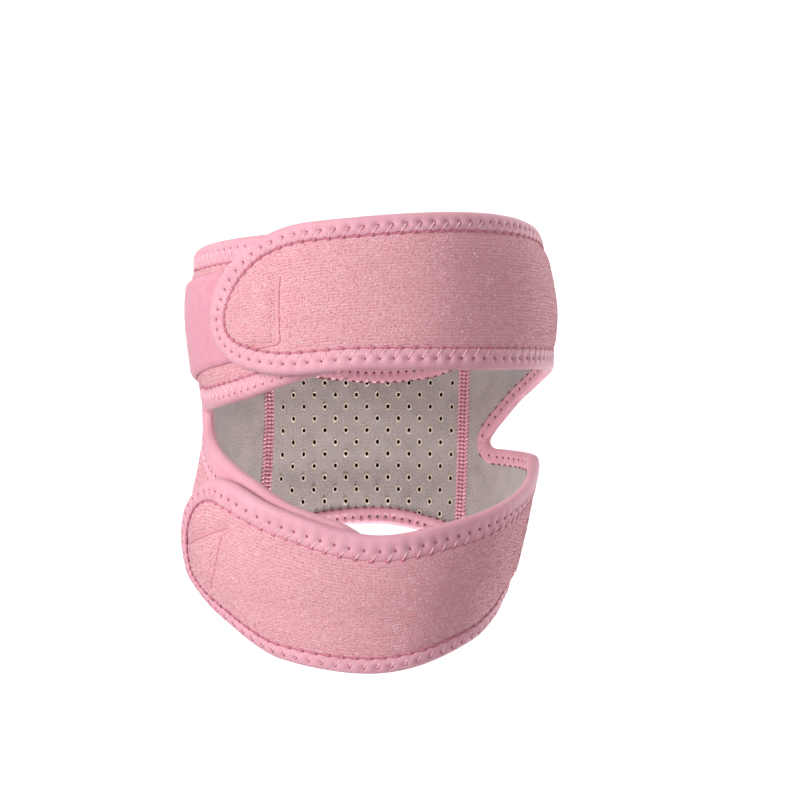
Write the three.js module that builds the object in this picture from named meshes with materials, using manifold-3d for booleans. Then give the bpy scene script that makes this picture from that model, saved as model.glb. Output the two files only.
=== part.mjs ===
// Adjustable knee sleeve with an open kneecap window: a forked sheet of laminated neoprene rolled round the
// knee, with two straps closed over two tabs. Millimetres, +Z up, front towards -Y. The origin is on the
// leg's axis, at the middle of the kneecap window.
// The sheet is drawn flat first: "run" is the way round the leg from the front (viewer's right is positive),
// z is the height, and "lift" is the way out from the middle of the wall that lies against the leg.
import * as THREE from "three";
import { mergeVertices } from "three/addons/utils/BufferGeometryUtils.js";
import Module from "manifold-3d";

const wasm = await Module();
wasm.setup();

// Driving dimensions
const GIRTH = 420; // round the closed sleeve
const RUN_PER_DEGREE = GIRTH / 360;
const WALL = { edge: 1.2, inner: 1.4, outer: 1.6 }; // from the middle; the binding presses the edge thin
const PLUMP = 5; // width over which the wall swells from its pressed edge to its full thickness
const BINDING = { width: 7.5, fold: 1.4, inner: 1.65, outer: 2.45, corner: 0.7 };
const SEAM = { width: 5.6, gap: 1.0, web: 0.4, inner: 1.7, outer: 1.9, thick: 0.8, clear: 0.5, step: 8 };
const LANDING = { from: 252, to: 322, belowTop: 11.4, lowFrom: 20.5, lowTo: 31, inner: 2.1, outer: 4.1 };
const UPPER_HOOK = { from: -37, to: -22, inset: 11, inner: 4.4, outer: 5.2 };
const LOWER_HOOK = { from: -64, to: -47, inset: 11, inner: 2.75, outer: 3.4 };
const BEVEL = { width: 2.6, lip: 0.9 }; // along the landing band's edges
const BREATHER = { radius: 0.8, sides: 6, depth: 2.0, margin: 1.5 };
const BREATHER_ROWS = { pitch: 8.45, row: 4.63, at: 12.6, offset: -1.3 }; // straight across the back
const STRAP_LIFT = { upper: 6.9, lower: 5.2, flat: 85, full: 12 }; // over the tabs; angles where it climbs

// Angles from the front, going round from a strap's tip, by the back, to the tab under it
const BACK = 180;
const RIGHT_SEAM = 142.6;
const LEFT_SEAM = 222;
const UPPER_STRAP_END = { tip: -49.5, start: -17, columns: 7 };
const LOWER_STRAP_END = { tip: -77, start: -46, columns: 7 };
const TAB_END = { tip: 368, start: 347, columns: 4 };
const RIGHT_NOTCH = { tip: 131, start: 127, columns: 3 };
const LEFT_NOTCH = { tip: 280, start: 286, columns: 3 };
const COLUMN_STEP = 8;
const EDGE_ROWS = 5; // strips of facets across a strap
const SAME_PLACE = 0.01;

// Form of the leg in the middle of the wall, a row for each level: the reach to the viewer's left and right
// at the sides, and to the front and the back
const LEVELS = [
  { z: -76, left: 43, right: 41.5, front: 46, back: 50 },
  { z: -54, left: 54.2, right: 46.2, front: 54, back: 56 },
  { z: -43, left: 59.7, right: 51.2, front: 58, back: 58.5 },
  { z: -22, left: 62.5, right: 56, front: 61.8, back: 60.5 },
  { z: -7, left: 59.6, right: 58.9, front: 63, back: 62 },
  { z: 10, left: 57.6, right: 60.6, front: 65, back: 62 },
  { z: 28, left: 60.6, right: 63.5, front: 66, back: 63 },
  { z: 48, left: 62.5, right: 65.2, front: 67, back: 64 },
  { z: 64, left: 61.2, right: 62.6, front: 66.5, back: 64 },
  { z: 82, left: 57, right: 55.6, front: 63, back: 62 },
];
const BACK_REACH = 61; // sideways reach of the back, which stays upright between the seams

// Edges of the flat sheet, a row for each turn of the edge
const TOP_EDGE = [
  { angle: -54, z: 69 },
  { angle: -20, z: 74.9 },
  { angle: 40, z: 79.3 },
  { angle: 85, z: 77 },
  { angle: 115, z: 65 },
  { angle: 146, z: 35 },
  { angle: 162, z: 29.8 },
  { angle: 177, z: 28.7 },
  { angle: 197, z: 30.2 },
  { angle: 212, z: 36 },
  { angle: 240, z: 57.5 },
  { angle: 258, z: 66 },
  { angle: 272, z: 69 },
  { angle: 330, z: 72.3 },
  { angle: 368, z: 73.5 },
];
const BOTTOM_EDGE = [
  { angle: -77, z: -64.5 },
  { angle: -60, z: -62.5 },
  { angle: -36, z: -71 },
  { angle: 0, z: -74.7 },
  { angle: 46, z: -66.2 },
  { angle: 90, z: -53.6 },
  { angle: 148, z: -39.2 },
  { angle: 178, z: -33.6 },
  { angle: 205, z: -36.2 },
  { angle: 270, z: -53 },
  { angle: 330, z: -64 },
  { angle: 368, z: -68 },
];
const UPPER_STRAP_LOW = [
  { angle: -54, z: 15.5 },
  { angle: -40, z: 21.2 },
  { angle: -28, z: 24.1 },
  { angle: 0, z: 27 },
  { angle: 60, z: 27.2 },
  { angle: 80, z: 26.6 },
  { angle: 95, z: 24 },
  { angle: 112, z: 17 },
  { angle: 130, z: 2.2 },
];
const LOWER_STRAP_HIGH = [
  { angle: -77, z: -17 },
  { angle: -63, z: -10.4 },
  { angle: -54, z: -8.8 },
  { angle: -45, z: -10.4 },
  { angle: -26, z: -18.6 },
  { angle: 3, z: -26.9 },
  { angle: 25, z: -23.2 },
  { angle: 50, z: -17.4 },
  { angle: 85, z: -6.8 },
  { angle: 95, z: -3.8 },
  { angle: 130, z: -3 },
];
const UPPER_TAB_LOW = [
  { angle: 280, z: 13.2 },
  { angle: 290, z: 13.6 },
  { angle: 313, z: 16.8 },
  { angle: 347, z: 26 },
  { angle: 368, z: 30 },
];
const LOWER_TAB_HIGH = [
  { angle: 280, z: 8.8 },
  { angle: 287, z: 5.2 },
  { angle: 294, z: 1.6 },
  { angle: 303, z: -2.4 },
  { angle: 322, z: -10.9 },
  { angle: 339, z: -19 },
  { angle: 368, z: -27 },
];

// Smooth value of one column of a table, with no overshoot between its rows
function smoothAt(rows, along, column, at) {
  const last = rows.length - 2;
  const found = rows.findIndex((row, k) => k <= last && at <= rows[k + 1][along]);
  const k = found < 0 ? last : found;
  const slope = (i) => {
    const a = rows[i];
    const b = rows[i + 1];
    return a && b ? (b[column] - a[column]) / (b[along] - a[along]) : null;
  };
  const tangent = (i) => {
    const before = slope(i - 1);
    const after = slope(i);
    if (before === null || after === null) return before ?? after;
    return before * after <= 0 ? 0 : (2 * before * after) / (before + after);
  };
  const length = rows[k + 1][along] - rows[k][along];
  const t = THREE.MathUtils.clamp((at - rows[k][along]) / length, 0, 1);
  const from = rows[k][column];
  const to = rows[k + 1][column];
  const bend = length * ((1 - t) * tangent(k) - t * tangent(k + 1));
  return from + (to - from) * t * t * (3 - 2 * t) + bend * t * (1 - t);
}

const edge = (rows) => (angle) => smoothAt(rows, "angle", "z", angle);
const sheetPoint = (angle, z) => new THREE.Vector2(angle * RUN_PER_DEGREE, z);
const angleOf = (point) => point.x / RUN_PER_DEGREE;
const keyOf = (point) => `${point.x.toFixed(4)} ${point.y.toFixed(4)}`;

// A point of the flat sheet rolled round the leg, moved out by its lift
function rolled(point, lift) {
  const angle = THREE.MathUtils.degToRad(angleOf(point));
  const sideways = Math.sin(angle);
  const forwards = Math.cos(angle);
  const side = smoothAt(LEVELS, "z", sideways > 0 ? "right" : "left", point.y);
  const depth = smoothAt(LEVELS, "z", forwards > 0 ? "front" : "back", point.y);
  const width = forwards > 0 ? side : THREE.MathUtils.lerp(BACK_REACH, side, sideways * sideways);
  const outward = new THREE.Vector3(sideways / width, -forwards / depth, 0).normalize();
  const middle = new THREE.Vector3(width * sideways, -depth * forwards, point.y);
  return middle.addScaledVector(outward, lift);
}

// How far the straps stand out where they climb over the tabs
function strapLift(point) {
  const climb = 1 - THREE.MathUtils.smoothstep(angleOf(point), STRAP_LIFT.full, STRAP_LIFT.flat);
  return climb * (point.y > 0 ? STRAP_LIFT.upper : STRAP_LIFT.lower);
}

// Two edges drawn together into a round end: the tip of a strap or the inner end of a notch
function roundEnd(low, high, end) {
  return (angle) => {
    const share = THREE.MathUtils.clamp((angle - end.start) / (end.tip - end.start), 0, 1);
    const open = Math.sqrt(1 - share * share);
    const middle = (low(angle) + high(angle)) / 2;
    const half = (high(angle) - low(angle)) / 2;
    return { low: middle - half * open, high: middle + half * open };
  };
}

// Angles that step evenly round an end, from its start to its tip
function endAngles(end) {
  const turn = (k) => Math.sin(((k / end.columns) * Math.PI) / 2);
  return Array.from({ length: end.columns + 1 }, (_, k) => end.start + (end.tip - end.start) * turn(k));
}

function evenly(from, to, count) {
  return Array.from({ length: count + 1 }, (_, k) => from + ((to - from) * k) / count);
}

function evenAngles(from, to) {
  return evenly(from, to, Math.max(1, Math.round((to - from) / COLUMN_STEP)));
}

// A strip of the sheet between two edges, with a pair of outline points for each angle
function makeStrip(angles, edgesAt) {
  const low = angles.map((angle) => sheetPoint(angle, edgesAt(angle).low));
  const high = angles.map((angle) => sheetPoint(angle, edgesAt(angle).high));
  return { low, high };
}

const rightNotch = roundEnd(edge(LOWER_STRAP_HIGH), edge(UPPER_STRAP_LOW), RIGHT_NOTCH);
const leftNotch = roundEnd(edge(LOWER_TAB_HIGH), edge(UPPER_TAB_LOW), LEFT_NOTCH);
const wholeWidth = (angle) => ({ low: edge(BOTTOM_EDGE)(angle), high: edge(TOP_EDGE)(angle) });
const aboveNotch = (notch, end) => roundEnd((angle) => notch(angle).high, edge(TOP_EDGE), end);
const belowNotch = (notch, end) => roundEnd(edge(BOTTOM_EDGE), (angle) => notch(angle).low, end);
const upperStrapEdges = aboveNotch(rightNotch, UPPER_STRAP_END);
const lowerStrapEdges = belowNotch(rightNotch, LOWER_STRAP_END);

function strapAngles(end) {
  const between = evenAngles(end.start, RIGHT_NOTCH.start).slice(1, -1);
  return [...endAngles(end).reverse(), ...between, ...endAngles(RIGHT_NOTCH)];
}

const tabAngles = [
  ...endAngles(LEFT_NOTCH).reverse(),
  ...evenAngles(LEFT_NOTCH.start, TAB_END.start).slice(1, -1),
  ...endAngles(TAB_END),
];
const halfSeam = SEAM.gap / 2 / RUN_PER_DEGREE;

const strips = {
  lowerStrap: makeStrip(strapAngles(LOWER_STRAP_END), lowerStrapEdges),
  upperStrap: makeStrip(strapAngles(UPPER_STRAP_END), upperStrapEdges),
  strapSide: makeStrip(evenAngles(RIGHT_NOTCH.tip, RIGHT_SEAM - halfSeam), wholeWidth),
  centre: makeStrip(evenAngles(RIGHT_SEAM + halfSeam, LEFT_SEAM - halfSeam), wholeWidth),
  tabSide: makeStrip(evenAngles(LEFT_SEAM + halfSeam, LEFT_NOTCH.tip), wholeWidth),
  lowerTab: makeStrip(tabAngles, belowNotch(leftNotch, TAB_END)),
  upperTab: makeStrip(tabAngles, aboveNotch(leftNotch, TAB_END)),
};

// The whole outline, once round with the sheet on its left
function closedOutline() {
  const { lowerStrap, upperStrap, strapSide, centre, tabSide, lowerTab, upperTab } = strips;
  const backwards = (points) => [...points].reverse();
  const walk = [
    lowerStrap.low,
    strapSide.low,
    centre.low,
    tabSide.low,
    lowerTab.low,
    backwards(lowerTab.high),
    upperTab.low,
    backwards(upperTab.high),
    backwards(tabSide.high),
    backwards(centre.high),
    backwards(strapSide.high),
    backwards(upperStrap.high),
    upperStrap.low,
    backwards(lowerStrap.high),
  ].flat();
  return walk.filter((point, k) => keyOf(point) !== keyOf(walk.at(k - 1)));
}

const outline = closedOutline();
const inward = outline.map((point, k) => {
  const along = outline[(k + 1) % outline.length].clone().sub(outline.at(k - 1)).normalize();
  return new THREE.Vector2(-along.y, along.x);
});
const insetAt = (k, inset) => outline[k].clone().addScaledVector(inward[k], inset);

// Edge of the wall inside the binding's fold: straight above or below the outline where that is nearly level
function wallEdgeAt(k) {
  const level = Math.abs(inward[k].y) > Math.SQRT1_2;
  const upright = new THREE.Vector2(0, BINDING.fold / inward[k].y);
  return level ? outline[k].clone().add(upright) : insetAt(k, BINDING.fold);
}
const wallEdge = new Map(outline.map((point, k) => [keyOf(point), wallEdgeAt(k)]));

function distanceToOutline(point) {
  const nearest = new THREE.Vector3();
  const flat = (p) => new THREE.Vector3(p.x, p.y, 0);
  const side = new THREE.Line3();
  const distances = outline.map((corner, k) => {
    side.set(flat(corner), flat(outline.at(k - 1)));
    side.closestPointToPoint(flat(point), true, nearest);
    return nearest.distanceTo(flat(point));
  });
  return Math.min(...distances);
}

// Lift of the wall's two faces at a point: thin under the binding, full past it
function wallFaces(point) {
  const past = distanceToOutline(point);
  const full = THREE.MathUtils.smoothstep(past, BINDING.width + BINDING.corner, BINDING.width + PLUMP);
  const lift = strapLift(point);
  return {
    outer: lift + THREE.MathUtils.lerp(WALL.edge, WALL.outer, full),
    inner: lift - THREE.MathUtils.lerp(WALL.edge, WALL.inner, full),
  };
}

// Columns of points between two edges; the rows next to an edge follow the inner border of the binding
function gridBetween(low, high, rows = EDGE_ROWS) {
  return low.map((bottom, k) => {
    const from = wallEdge.get(keyOf(bottom)) ?? bottom;
    const to = wallEdge.get(keyOf(high[k])) ?? high[k];
    const border = Math.min((BINDING.width - BINDING.fold) / Math.max(from.distanceTo(to), 1), 1 / rows);
    const shares = [0, ...evenly(border, 1 - border, rows - 2), 1];
    return shares.map((share) => from.clone().lerp(to, share));
  });
}

function geometryFrom(positions, triangles) {
  const geometry = new THREE.BufferGeometry();
  geometry.setAttribute("position", new THREE.Float32BufferAttribute(positions, 3));
  geometry.setIndex(triangles);
  return geometry;
}

// A closed sheet of given thickness over one or more grids that share the points where they meet
function thickSheet(grids, facesAt) {
  const number = new Map();
  const outer = [];
  const inner = [];
  const vertex = (point) => {
    const key = keyOf(point);
    if (!number.has(key)) {
      const faces = facesAt(point);
      number.set(key, outer.length);
      outer.push(rolled(point, faces.outer));
      inner.push(rolled(point, faces.inner));
    }
    return number.get(key);
  };
  const skin = [];
  for (const grid of grids) {
    for (let i = 0; i + 1 < grid.length; i += 1) {
      for (let j = 0; j + 1 < grid[i].length; j += 1) {
        const a = vertex(grid[i][j]);
        const b = vertex(grid[i + 1][j]);
        const c = vertex(grid[i + 1][j + 1]);
        const d = vertex(grid[i][j + 1]);
        skin.push(...[[a, b, c], [a, c, d]].filter((three) => new Set(three).size === 3));
      }
    }
  }
  const sides = skin.flatMap(([a, b, c]) => [[a, b], [b, c], [c, a]]);
  const used = new Set(sides.map(String));
  const rim = sides.filter(([from, to]) => !used.has(String([to, from])));
  const under = outer.length;
  const triangles = [
    ...skin.flat(),
    ...skin.flatMap(([a, b, c]) => [a + under, c + under, b + under]),
    ...rim.flatMap(([from, to]) => [to, from, from + under, to, from + under, to + under]),
  ];
  return geometryFrom([...outer, ...inner].flatMap((p) => p.toArray()), triangles);
}

// A closed body through rings of points, run round to its start or capped at both ends
function loft(rings, capTriangles) {
  const size = rings[0].length;
  const closed = capTriangles === undefined;
  const triangles = [];
  for (let k = 0; k < (closed ? rings.length : rings.length - 1); k += 1) {
    const here = k * size;
    const next = ((k + 1) % rings.length) * size;
    for (let j = 0; j < size; j += 1) {
      const after = (j + 1) % size;
      triangles.push(here + j, here + after, next + after, here + j, next + after, next + j);
    }
  }
  if (!closed) {
    const end = (rings.length - 1) * size;
    capTriangles.forEach(([a, b, c]) => triangles.push(a, c, b, end + a, end + b, end + c));
  }
  return geometryFrom(rings.flat().flatMap((p) => p.toArray()), triangles);
}

function bindingGeometry() {
  const { width, fold, inner, outer, corner } = BINDING;
  const clear = fold - (inner - WALL.edge);
  const section = [
    { inset: width, lift: outer },
    { inset: corner, lift: outer },
    { inset: 0, lift: 0 },
    { inset: corner, lift: -outer },
    { inset: width, lift: -outer },
    { inset: width, lift: -inner },
    { inset: clear, lift: -inner },
    { inset: clear, lift: inner },
    { inset: width, lift: inner },
  ];
  const rings = outline.map((_, k) =>
    section.map(({ inset, lift }) => {
      const point = insetAt(k, inset);
      return rolled(point, strapLift(point) + lift);
    }),
  );
  return loft(rings);
}

// Flat seam: a band of threads on each face, held together by a web between the two panels
function seamGeometry(angle) {
  const { width, web, inner, outer, thick, clear, step } = SEAM;
  const rightHalf = [
    { lift: outer + thick, run: width / 2 },
    { lift: outer, run: width / 2 },
    { lift: outer, run: web / 2 },
    { lift: -inner, run: web / 2 },
    { lift: -inner, run: width / 2 },
    { lift: -inner - thick, run: width / 2 },
  ];
  const leftHalf = rightHalf.map(({ lift, run }) => ({ lift, run: -run })).reverse();
  const section = [...rightHalf, ...leftHalf];
  const caps = THREE.ShapeUtils.triangulateShape(
    section.map(({ lift, run }) => new THREE.Vector2(lift, run)),
    [],
  );
  const covered = (z) =>
    [-width / 2, width / 2].some((run) => {
      const corner = sheetPoint(angle, z);
      return distanceToOutline(corner.setX(corner.x + run)) < BINDING.width + clear;
    });
  let { low: from, high: to } = wholeWidth(angle);
  while (covered(from)) from += clear;
  while (covered(to)) to -= clear;
  const rings = evenly(from, to, Math.round((to - from) / step)).map((z) => {
    const middle = sheetPoint(angle, z);
    return section.map(({ lift, run }) => rolled(new THREE.Vector2(middle.x + run, z), lift));
  });
  return loft(rings, caps);
}

// Breather holes: blind from the inside, in staggered rows clear of the binding and the seams
function breatherPins() {
  const { radius, sides, depth, margin } = BREATHER;
  const { pitch, row, at, offset } = BREATHER_ROWS;
  const reach = ((LEFT_SEAM - RIGHT_SEAM) / 2) * RUN_PER_DEGREE;
  const ring = (centre, lift) =>
    Array.from({ length: sides }, (_, k) => {
      const turn = (k / sides) * 2 * Math.PI;
      const corner = new THREE.Vector2(Math.cos(turn), Math.sin(turn)).multiplyScalar(radius);
      return rolled(corner.add(centre), lift);
    });
  const caps = Array.from({ length: sides - 2 }, (_, k) => [0, k + 1, k + 2]);
  const pins = [];
  const rows = Math.ceil((2 * reach) / row);
  const columns = Math.floor(BACK_REACH / pitch) - 1;
  for (let i = -rows; i <= rows; i += 1) {
    for (let j = -columns; j <= columns; j += 1) {
      const across = offset + (j + (i % 2 ? 0.5 : 0)) * pitch;
      const angle = BACK - THREE.MathUtils.radToDeg(Math.asin(across / BACK_REACH));
      const centre = sheetPoint(angle, at + i * row);
      const toSeam = Math.min(angle - RIGHT_SEAM, LEFT_SEAM - angle) * RUN_PER_DEGREE - SEAM.width / 2;
      if (toSeam < margin || distanceToOutline(centre) < BINDING.width + margin) continue;
      const { low, high } = wholeWidth(angle);
      if (centre.y < low || centre.y > high) continue;
      pins.push(loft([ring(centre, -WALL.inner - depth), ring(centre, depth - WALL.inner)], caps));
    }
  }
  return pins;
}

function solidFrom(geometry) {
  const merged = mergeVertices(geometry);
  const vertProperties = Float32Array.from(merged.attributes.position.array);
  const triVerts = Uint32Array.from(merged.index.array);
  return new wasm.Manifold(new wasm.Mesh({ numProp: 3, vertProperties, triVerts }));
}

function centrePanelGeometry() {
  const rows = 2 * EDGE_ROWS - 2;
  const sheet = thickSheet([gridBetween(strips.centre.low, strips.centre.high, rows)], wallFaces);
  const pierced = breatherPins().reduce((solid, pin) => solid.subtract(solidFrom(pin)), solidFrom(sheet));
  const { vertProperties, triVerts } = pierced.getMesh();
  return geometryFrom(Array.from(vertProperties), Array.from(triVerts));
}

// A side panel and the two bands that it forks into. A ridge line across the panel carries on from the inner
// end of the notch, so that the panel and the bands share their points there.
function forkedPanelGeometry(side, lowerBand, upperBand) {
  const lowerKeys = new Set(lowerBand.high.map(keyOf));
  const notchEnd = upperBand.low.find((point) => lowerKeys.has(keyOf(point)));
  const ridgeHeight = wallEdge.get(keyOf(notchEnd)).y;
  const ridge = side.low.map(({ x }) => {
    const atNotch = Math.abs(x - notchEnd.x) < SAME_PLACE;
    return atNotch ? notchEnd : new THREE.Vector2(x, ridgeHeight);
  });
  return thickSheet(
    [
      gridBetween(lowerBand.low, lowerBand.high),
      gridBetween(upperBand.low, upperBand.high),
      gridBetween(side.low, ridge),
      gridBetween(ridge, side.high),
    ],
    wallFaces,
  );
}

// A patch over the sheet between two edges, at a given lift, with its edges thinned to a lip
function patchGeometry(patch, edgesAt, lip) {
  const columns = evenAngles(patch.from, patch.to).map((angle) => {
    const { low, high } = edgesAt(angle);
    const inside = evenly(low + BEVEL.width, high - BEVEL.width, EDGE_ROWS - 1);
    return [low, ...inside, high].map((z) => sheetPoint(angle, z));
  });
  const rims = new Set(columns.flatMap((column) => [column[0], column.at(-1)]).map(keyOf));
  const facesAt = (point) => ({
    inner: patch.inner,
    outer: rims.has(keyOf(point)) ? patch.inner + lip : patch.outer,
  });
  return thickSheet([columns], facesAt);
}

function landingBandGeometry() {
  const { from, to, lowFrom, lowTo, belowTop } = LANDING;
  const edgesAt = (angle) => ({
    low: THREE.MathUtils.mapLinear(angle, from, to, lowFrom, lowTo),
    high: edge(TOP_EDGE)(angle) - belowTop,
  });
  return patchGeometry(LANDING, edgesAt, BEVEL.lip);
}

function hookPatchGeometry(hook, strapEdgesAt) {
  const edgesAt = (angle) => {
    const { low, high } = strapEdgesAt(angle);
    return { low: low + hook.inset, high: high - hook.inset };
  };
  return patchGeometry(hook, edgesAt, hook.outer - hook.inner);
}

const pinkPile = new THREE.MeshStandardMaterial({ color: 0xe8a6b2, roughness: 0.95, metalness: 0 });
const greyJersey = new THREE.MeshStandardMaterial({ color: 0xa79d9b, roughness: 0.9, metalness: 0 });
const pinkTape = new THREE.MeshStandardMaterial({ color: 0xeda3b5, roughness: 0.85, metalness: 0 });
const smoothPink = new THREE.MeshStandardMaterial({ color: 0xf2aec0, roughness: 0.7, metalness: 0 });

const sleeve = new THREE.Group();

function addPiece(name, geometry, material) {
  const mesh = new THREE.Mesh(geometry, material);
  mesh.name = name;
  sleeve.add(mesh);
}

const { strapSide, tabSide, lowerStrap, upperStrap, lowerTab, upperTab } = strips;
addPiece("centre_panel", centrePanelGeometry(), greyJersey);
addPiece("strap_panel", forkedPanelGeometry(strapSide, lowerStrap, upperStrap), pinkPile);
addPiece("tab_panel", forkedPanelGeometry(tabSide, lowerTab, upperTab), pinkPile);
addPiece("right_seam", seamGeometry(RIGHT_SEAM), pinkTape);
addPiece("left_seam", seamGeometry(LEFT_SEAM), pinkTape);
addPiece("edge_binding", bindingGeometry(), pinkTape);
addPiece("landing_band", landingBandGeometry(), smoothPink);
addPiece("upper_hook_patch", hookPatchGeometry(UPPER_HOOK, upperStrapEdges), smoothPink);
addPiece("lower_hook_patch", hookPatchGeometry(LOWER_HOOK, lowerStrapEdges), smoothPink);

export default sleeve;
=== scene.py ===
"""Adjustable knee sleeve: a forked sheet of laminated neoprene, rolled round the knee and closed by straps.

The sheet is worked out flat, in millimetres: run is the way round the leg from the front, z is the height,
and lift is the way out from the middle of the wall that lies against the leg. Meshes are made in metres.
"""
import math

import bpy
import numpy as np
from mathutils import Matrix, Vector
from mathutils.kdtree import KDTree


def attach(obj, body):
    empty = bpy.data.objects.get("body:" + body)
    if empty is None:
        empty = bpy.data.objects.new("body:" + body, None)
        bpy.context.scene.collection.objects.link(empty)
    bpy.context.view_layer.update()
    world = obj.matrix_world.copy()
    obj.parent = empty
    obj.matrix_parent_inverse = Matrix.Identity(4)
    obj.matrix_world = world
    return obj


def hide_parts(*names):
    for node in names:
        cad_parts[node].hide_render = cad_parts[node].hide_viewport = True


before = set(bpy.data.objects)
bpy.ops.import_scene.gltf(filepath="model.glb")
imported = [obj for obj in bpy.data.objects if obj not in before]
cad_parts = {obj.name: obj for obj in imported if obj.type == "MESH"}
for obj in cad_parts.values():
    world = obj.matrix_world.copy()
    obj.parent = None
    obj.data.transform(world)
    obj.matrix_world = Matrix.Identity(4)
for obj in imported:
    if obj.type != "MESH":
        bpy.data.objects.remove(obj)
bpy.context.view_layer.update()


# Centre panel: the back of the sleeve, neoprene foam with grey polyester jersey laminated to both faces.
# It is die-cut and punched from the inside with staggered breather holes, whose rims show the cream foam.
MM = 0.001
GIRTH = 420
RUN_PER_DEGREE = GIRTH / 360
BACK = 180
RIGHT_SEAM = 142.6
LEFT_SEAM = 222
SEAM_GAP = 1.0
BACK_REACH = 61
LEVELS = {
    "z": (-76, -54, -43, -22, -7, 10, 28, 48, 64, 82),
    "left": (43, 54.2, 59.7, 62.5, 59.6, 57.6, 60.6, 62.5, 61.2, 57),
    "right": (41.5, 46.2, 51.2, 56, 58.9, 60.6, 63.5, 65.2, 62.6, 55.6),
    "front": (46, 54, 58, 61.8, 63, 65, 66, 67, 66.5, 63),
    "back": (50, 56, 58.5, 60.5, 62, 62, 63, 64, 64, 62),
}
TOP_EDGE = {
    "angle": (-54, -20, 40, 85, 115, 146, 162, 177, 197, 212, 240, 258, 272, 330, 368),
    "z": (69, 74.9, 79.3, 77, 65, 35, 29.8, 28.7, 30.2, 36, 57.5, 66, 69, 72.3, 73.5),
}
BOTTOM_EDGE = {
    "angle": (-77, -60, -36, 0, 46, 90, 148, 178, 205, 270, 330, 368),
    "z": (-64.5, -62.5, -71, -74.7, -66.2, -53.6, -39.2, -33.6, -36.2, -53, -64, -68),
}
BACK_GRID = {"columns": 72, "rows": 60, "across": (0, 80)}
MERGE_DIGITS = 3
WALL = {"edge": 1.2, "inner": 1.4, "outer": 1.9}
PRESSED = {"under": 5.0, "plump": 6.0}
TUCK = 1.6
SEAM = {"half": 2.8, "bed": 1.35, "crown": 0.35, "pitch": 1.5, "below_edge": 3.0}
BREATHER = {"radius": 0.62, "oval": 1.35, "depth": 2.1, "from_edge": 6.9, "from_seam": 1.5}
BREATHER_ROWS = {"most": 20, "pitch": 8.45, "row": 4.63, "at": 12.6, "offset": -1.3}
RIM = {"radius": 0.86, "thick": 0.24}
UPRIGHT = (0.0, 0.0, 1.0)


def smooth_at(table, along, column, at):
    """Smooth value of a table's column, with no overshoot between its rows."""
    x = np.asarray(table[along], float)
    y = np.asarray(table[column], float)
    slope = np.diff(y) / np.diff(x)
    before, after = slope[:-1], slope[1:]
    same_way = before * after > 0
    total = np.where(same_way, before + after, 1.0)
    inner = np.where(same_way, 2 * before * after / total, 0.0)
    tangent = np.concatenate([slope[:1], inner, slope[-1:]])
    k = np.clip(np.searchsorted(x[1:], at), 0, len(x) - 2)
    length = x[k + 1] - x[k]
    t = np.clip((at - x[k]) / length, 0, 1)
    bend = length * ((1 - t) * tangent[k] - t * tangent[k + 1])
    return y[k] + (y[k + 1] - y[k]) * t * t * (3 - 2 * t) + bend * t * (1 - t)


def edge(table, shift=0.0):
    """Height of a cut edge at an angle, moved up by a shift."""
    return lambda angle: smooth_at(table, "angle", "z", angle) + shift


def whole_edges(tuck):
    """Bottom and top edges of the sleeve, drawn in from the cut by a tuck."""
    return lambda angle: (edge(BOTTOM_EDGE, tuck)(angle), edge(TOP_EDGE, -tuck)(angle))


def smoothstep(low, high, value):
    t = np.clip((value - low) / (high - low), 0, 1)
    return t * t * (3 - 2 * t)


def leg_form(run, z):
    """Points in the middle of the wall round the leg, and the ways out from them."""
    angle = np.radians(np.asarray(run) / RUN_PER_DEGREE)
    sideways, forwards = np.sin(angle), np.cos(angle)
    level = {name: smooth_at(LEVELS, "z", name, z) for name in LEVELS if name != "z"}
    side = np.where(sideways > 0, level["right"], level["left"])
    depth = np.where(forwards > 0, level["front"], level["back"])
    width = np.where(forwards > 0, side, BACK_REACH + (side - BACK_REACH) * sideways**2)
    out = np.stack([sideways / width, -forwards / depth, np.zeros_like(width)], -1)
    out /= np.linalg.norm(out, axis=-1, keepdims=True)
    return np.stack([width * sideways, -depth * forwards, z + 0 * width], -1), out


def rolled(run, z, lift):
    middle, out = leg_form(run, z)
    return middle + out * np.asarray(lift)[..., None]


def band_grid(angles, edges, rows, across):
    """Columns of points between two cut edges: run, z and the way across the cloth."""
    low, high = edges(angles)
    share = np.linspace(0, 1, rows + 1)
    run = (angles * RUN_PER_DEGREE)[:, None] + 0 * share
    z = low[:, None] + (high - low)[:, None] * share
    return np.stack([run, z, across[0] + (across[1] - across[0]) * share + 0 * run], -1)


def joined(grids):
    """Grids that share their border points, as one set of points and one list of faces."""
    points = np.concatenate([grid.reshape(-1, 3) for grid in grids])
    flat = np.round(points[:, :2], MERGE_DIGITS)
    _, first, number = np.unique(flat, axis=0, return_index=True, return_inverse=True)
    number = number.ravel()
    faces, start = [], 0
    for grid in grids:
        columns, rows = grid.shape[:2]
        own = number[start : start + columns * rows].reshape(columns, rows)
        start += columns * rows
        corners = np.stack([own[:-1, :-1], own[1:, :-1], own[1:, 1:], own[:-1, 1:]], -1)
        faces += [tuple(dict.fromkeys(face)) for face in corners.reshape(-1, 4).tolist()]
    return points[first], [face for face in faces if len(face) > 2]


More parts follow.
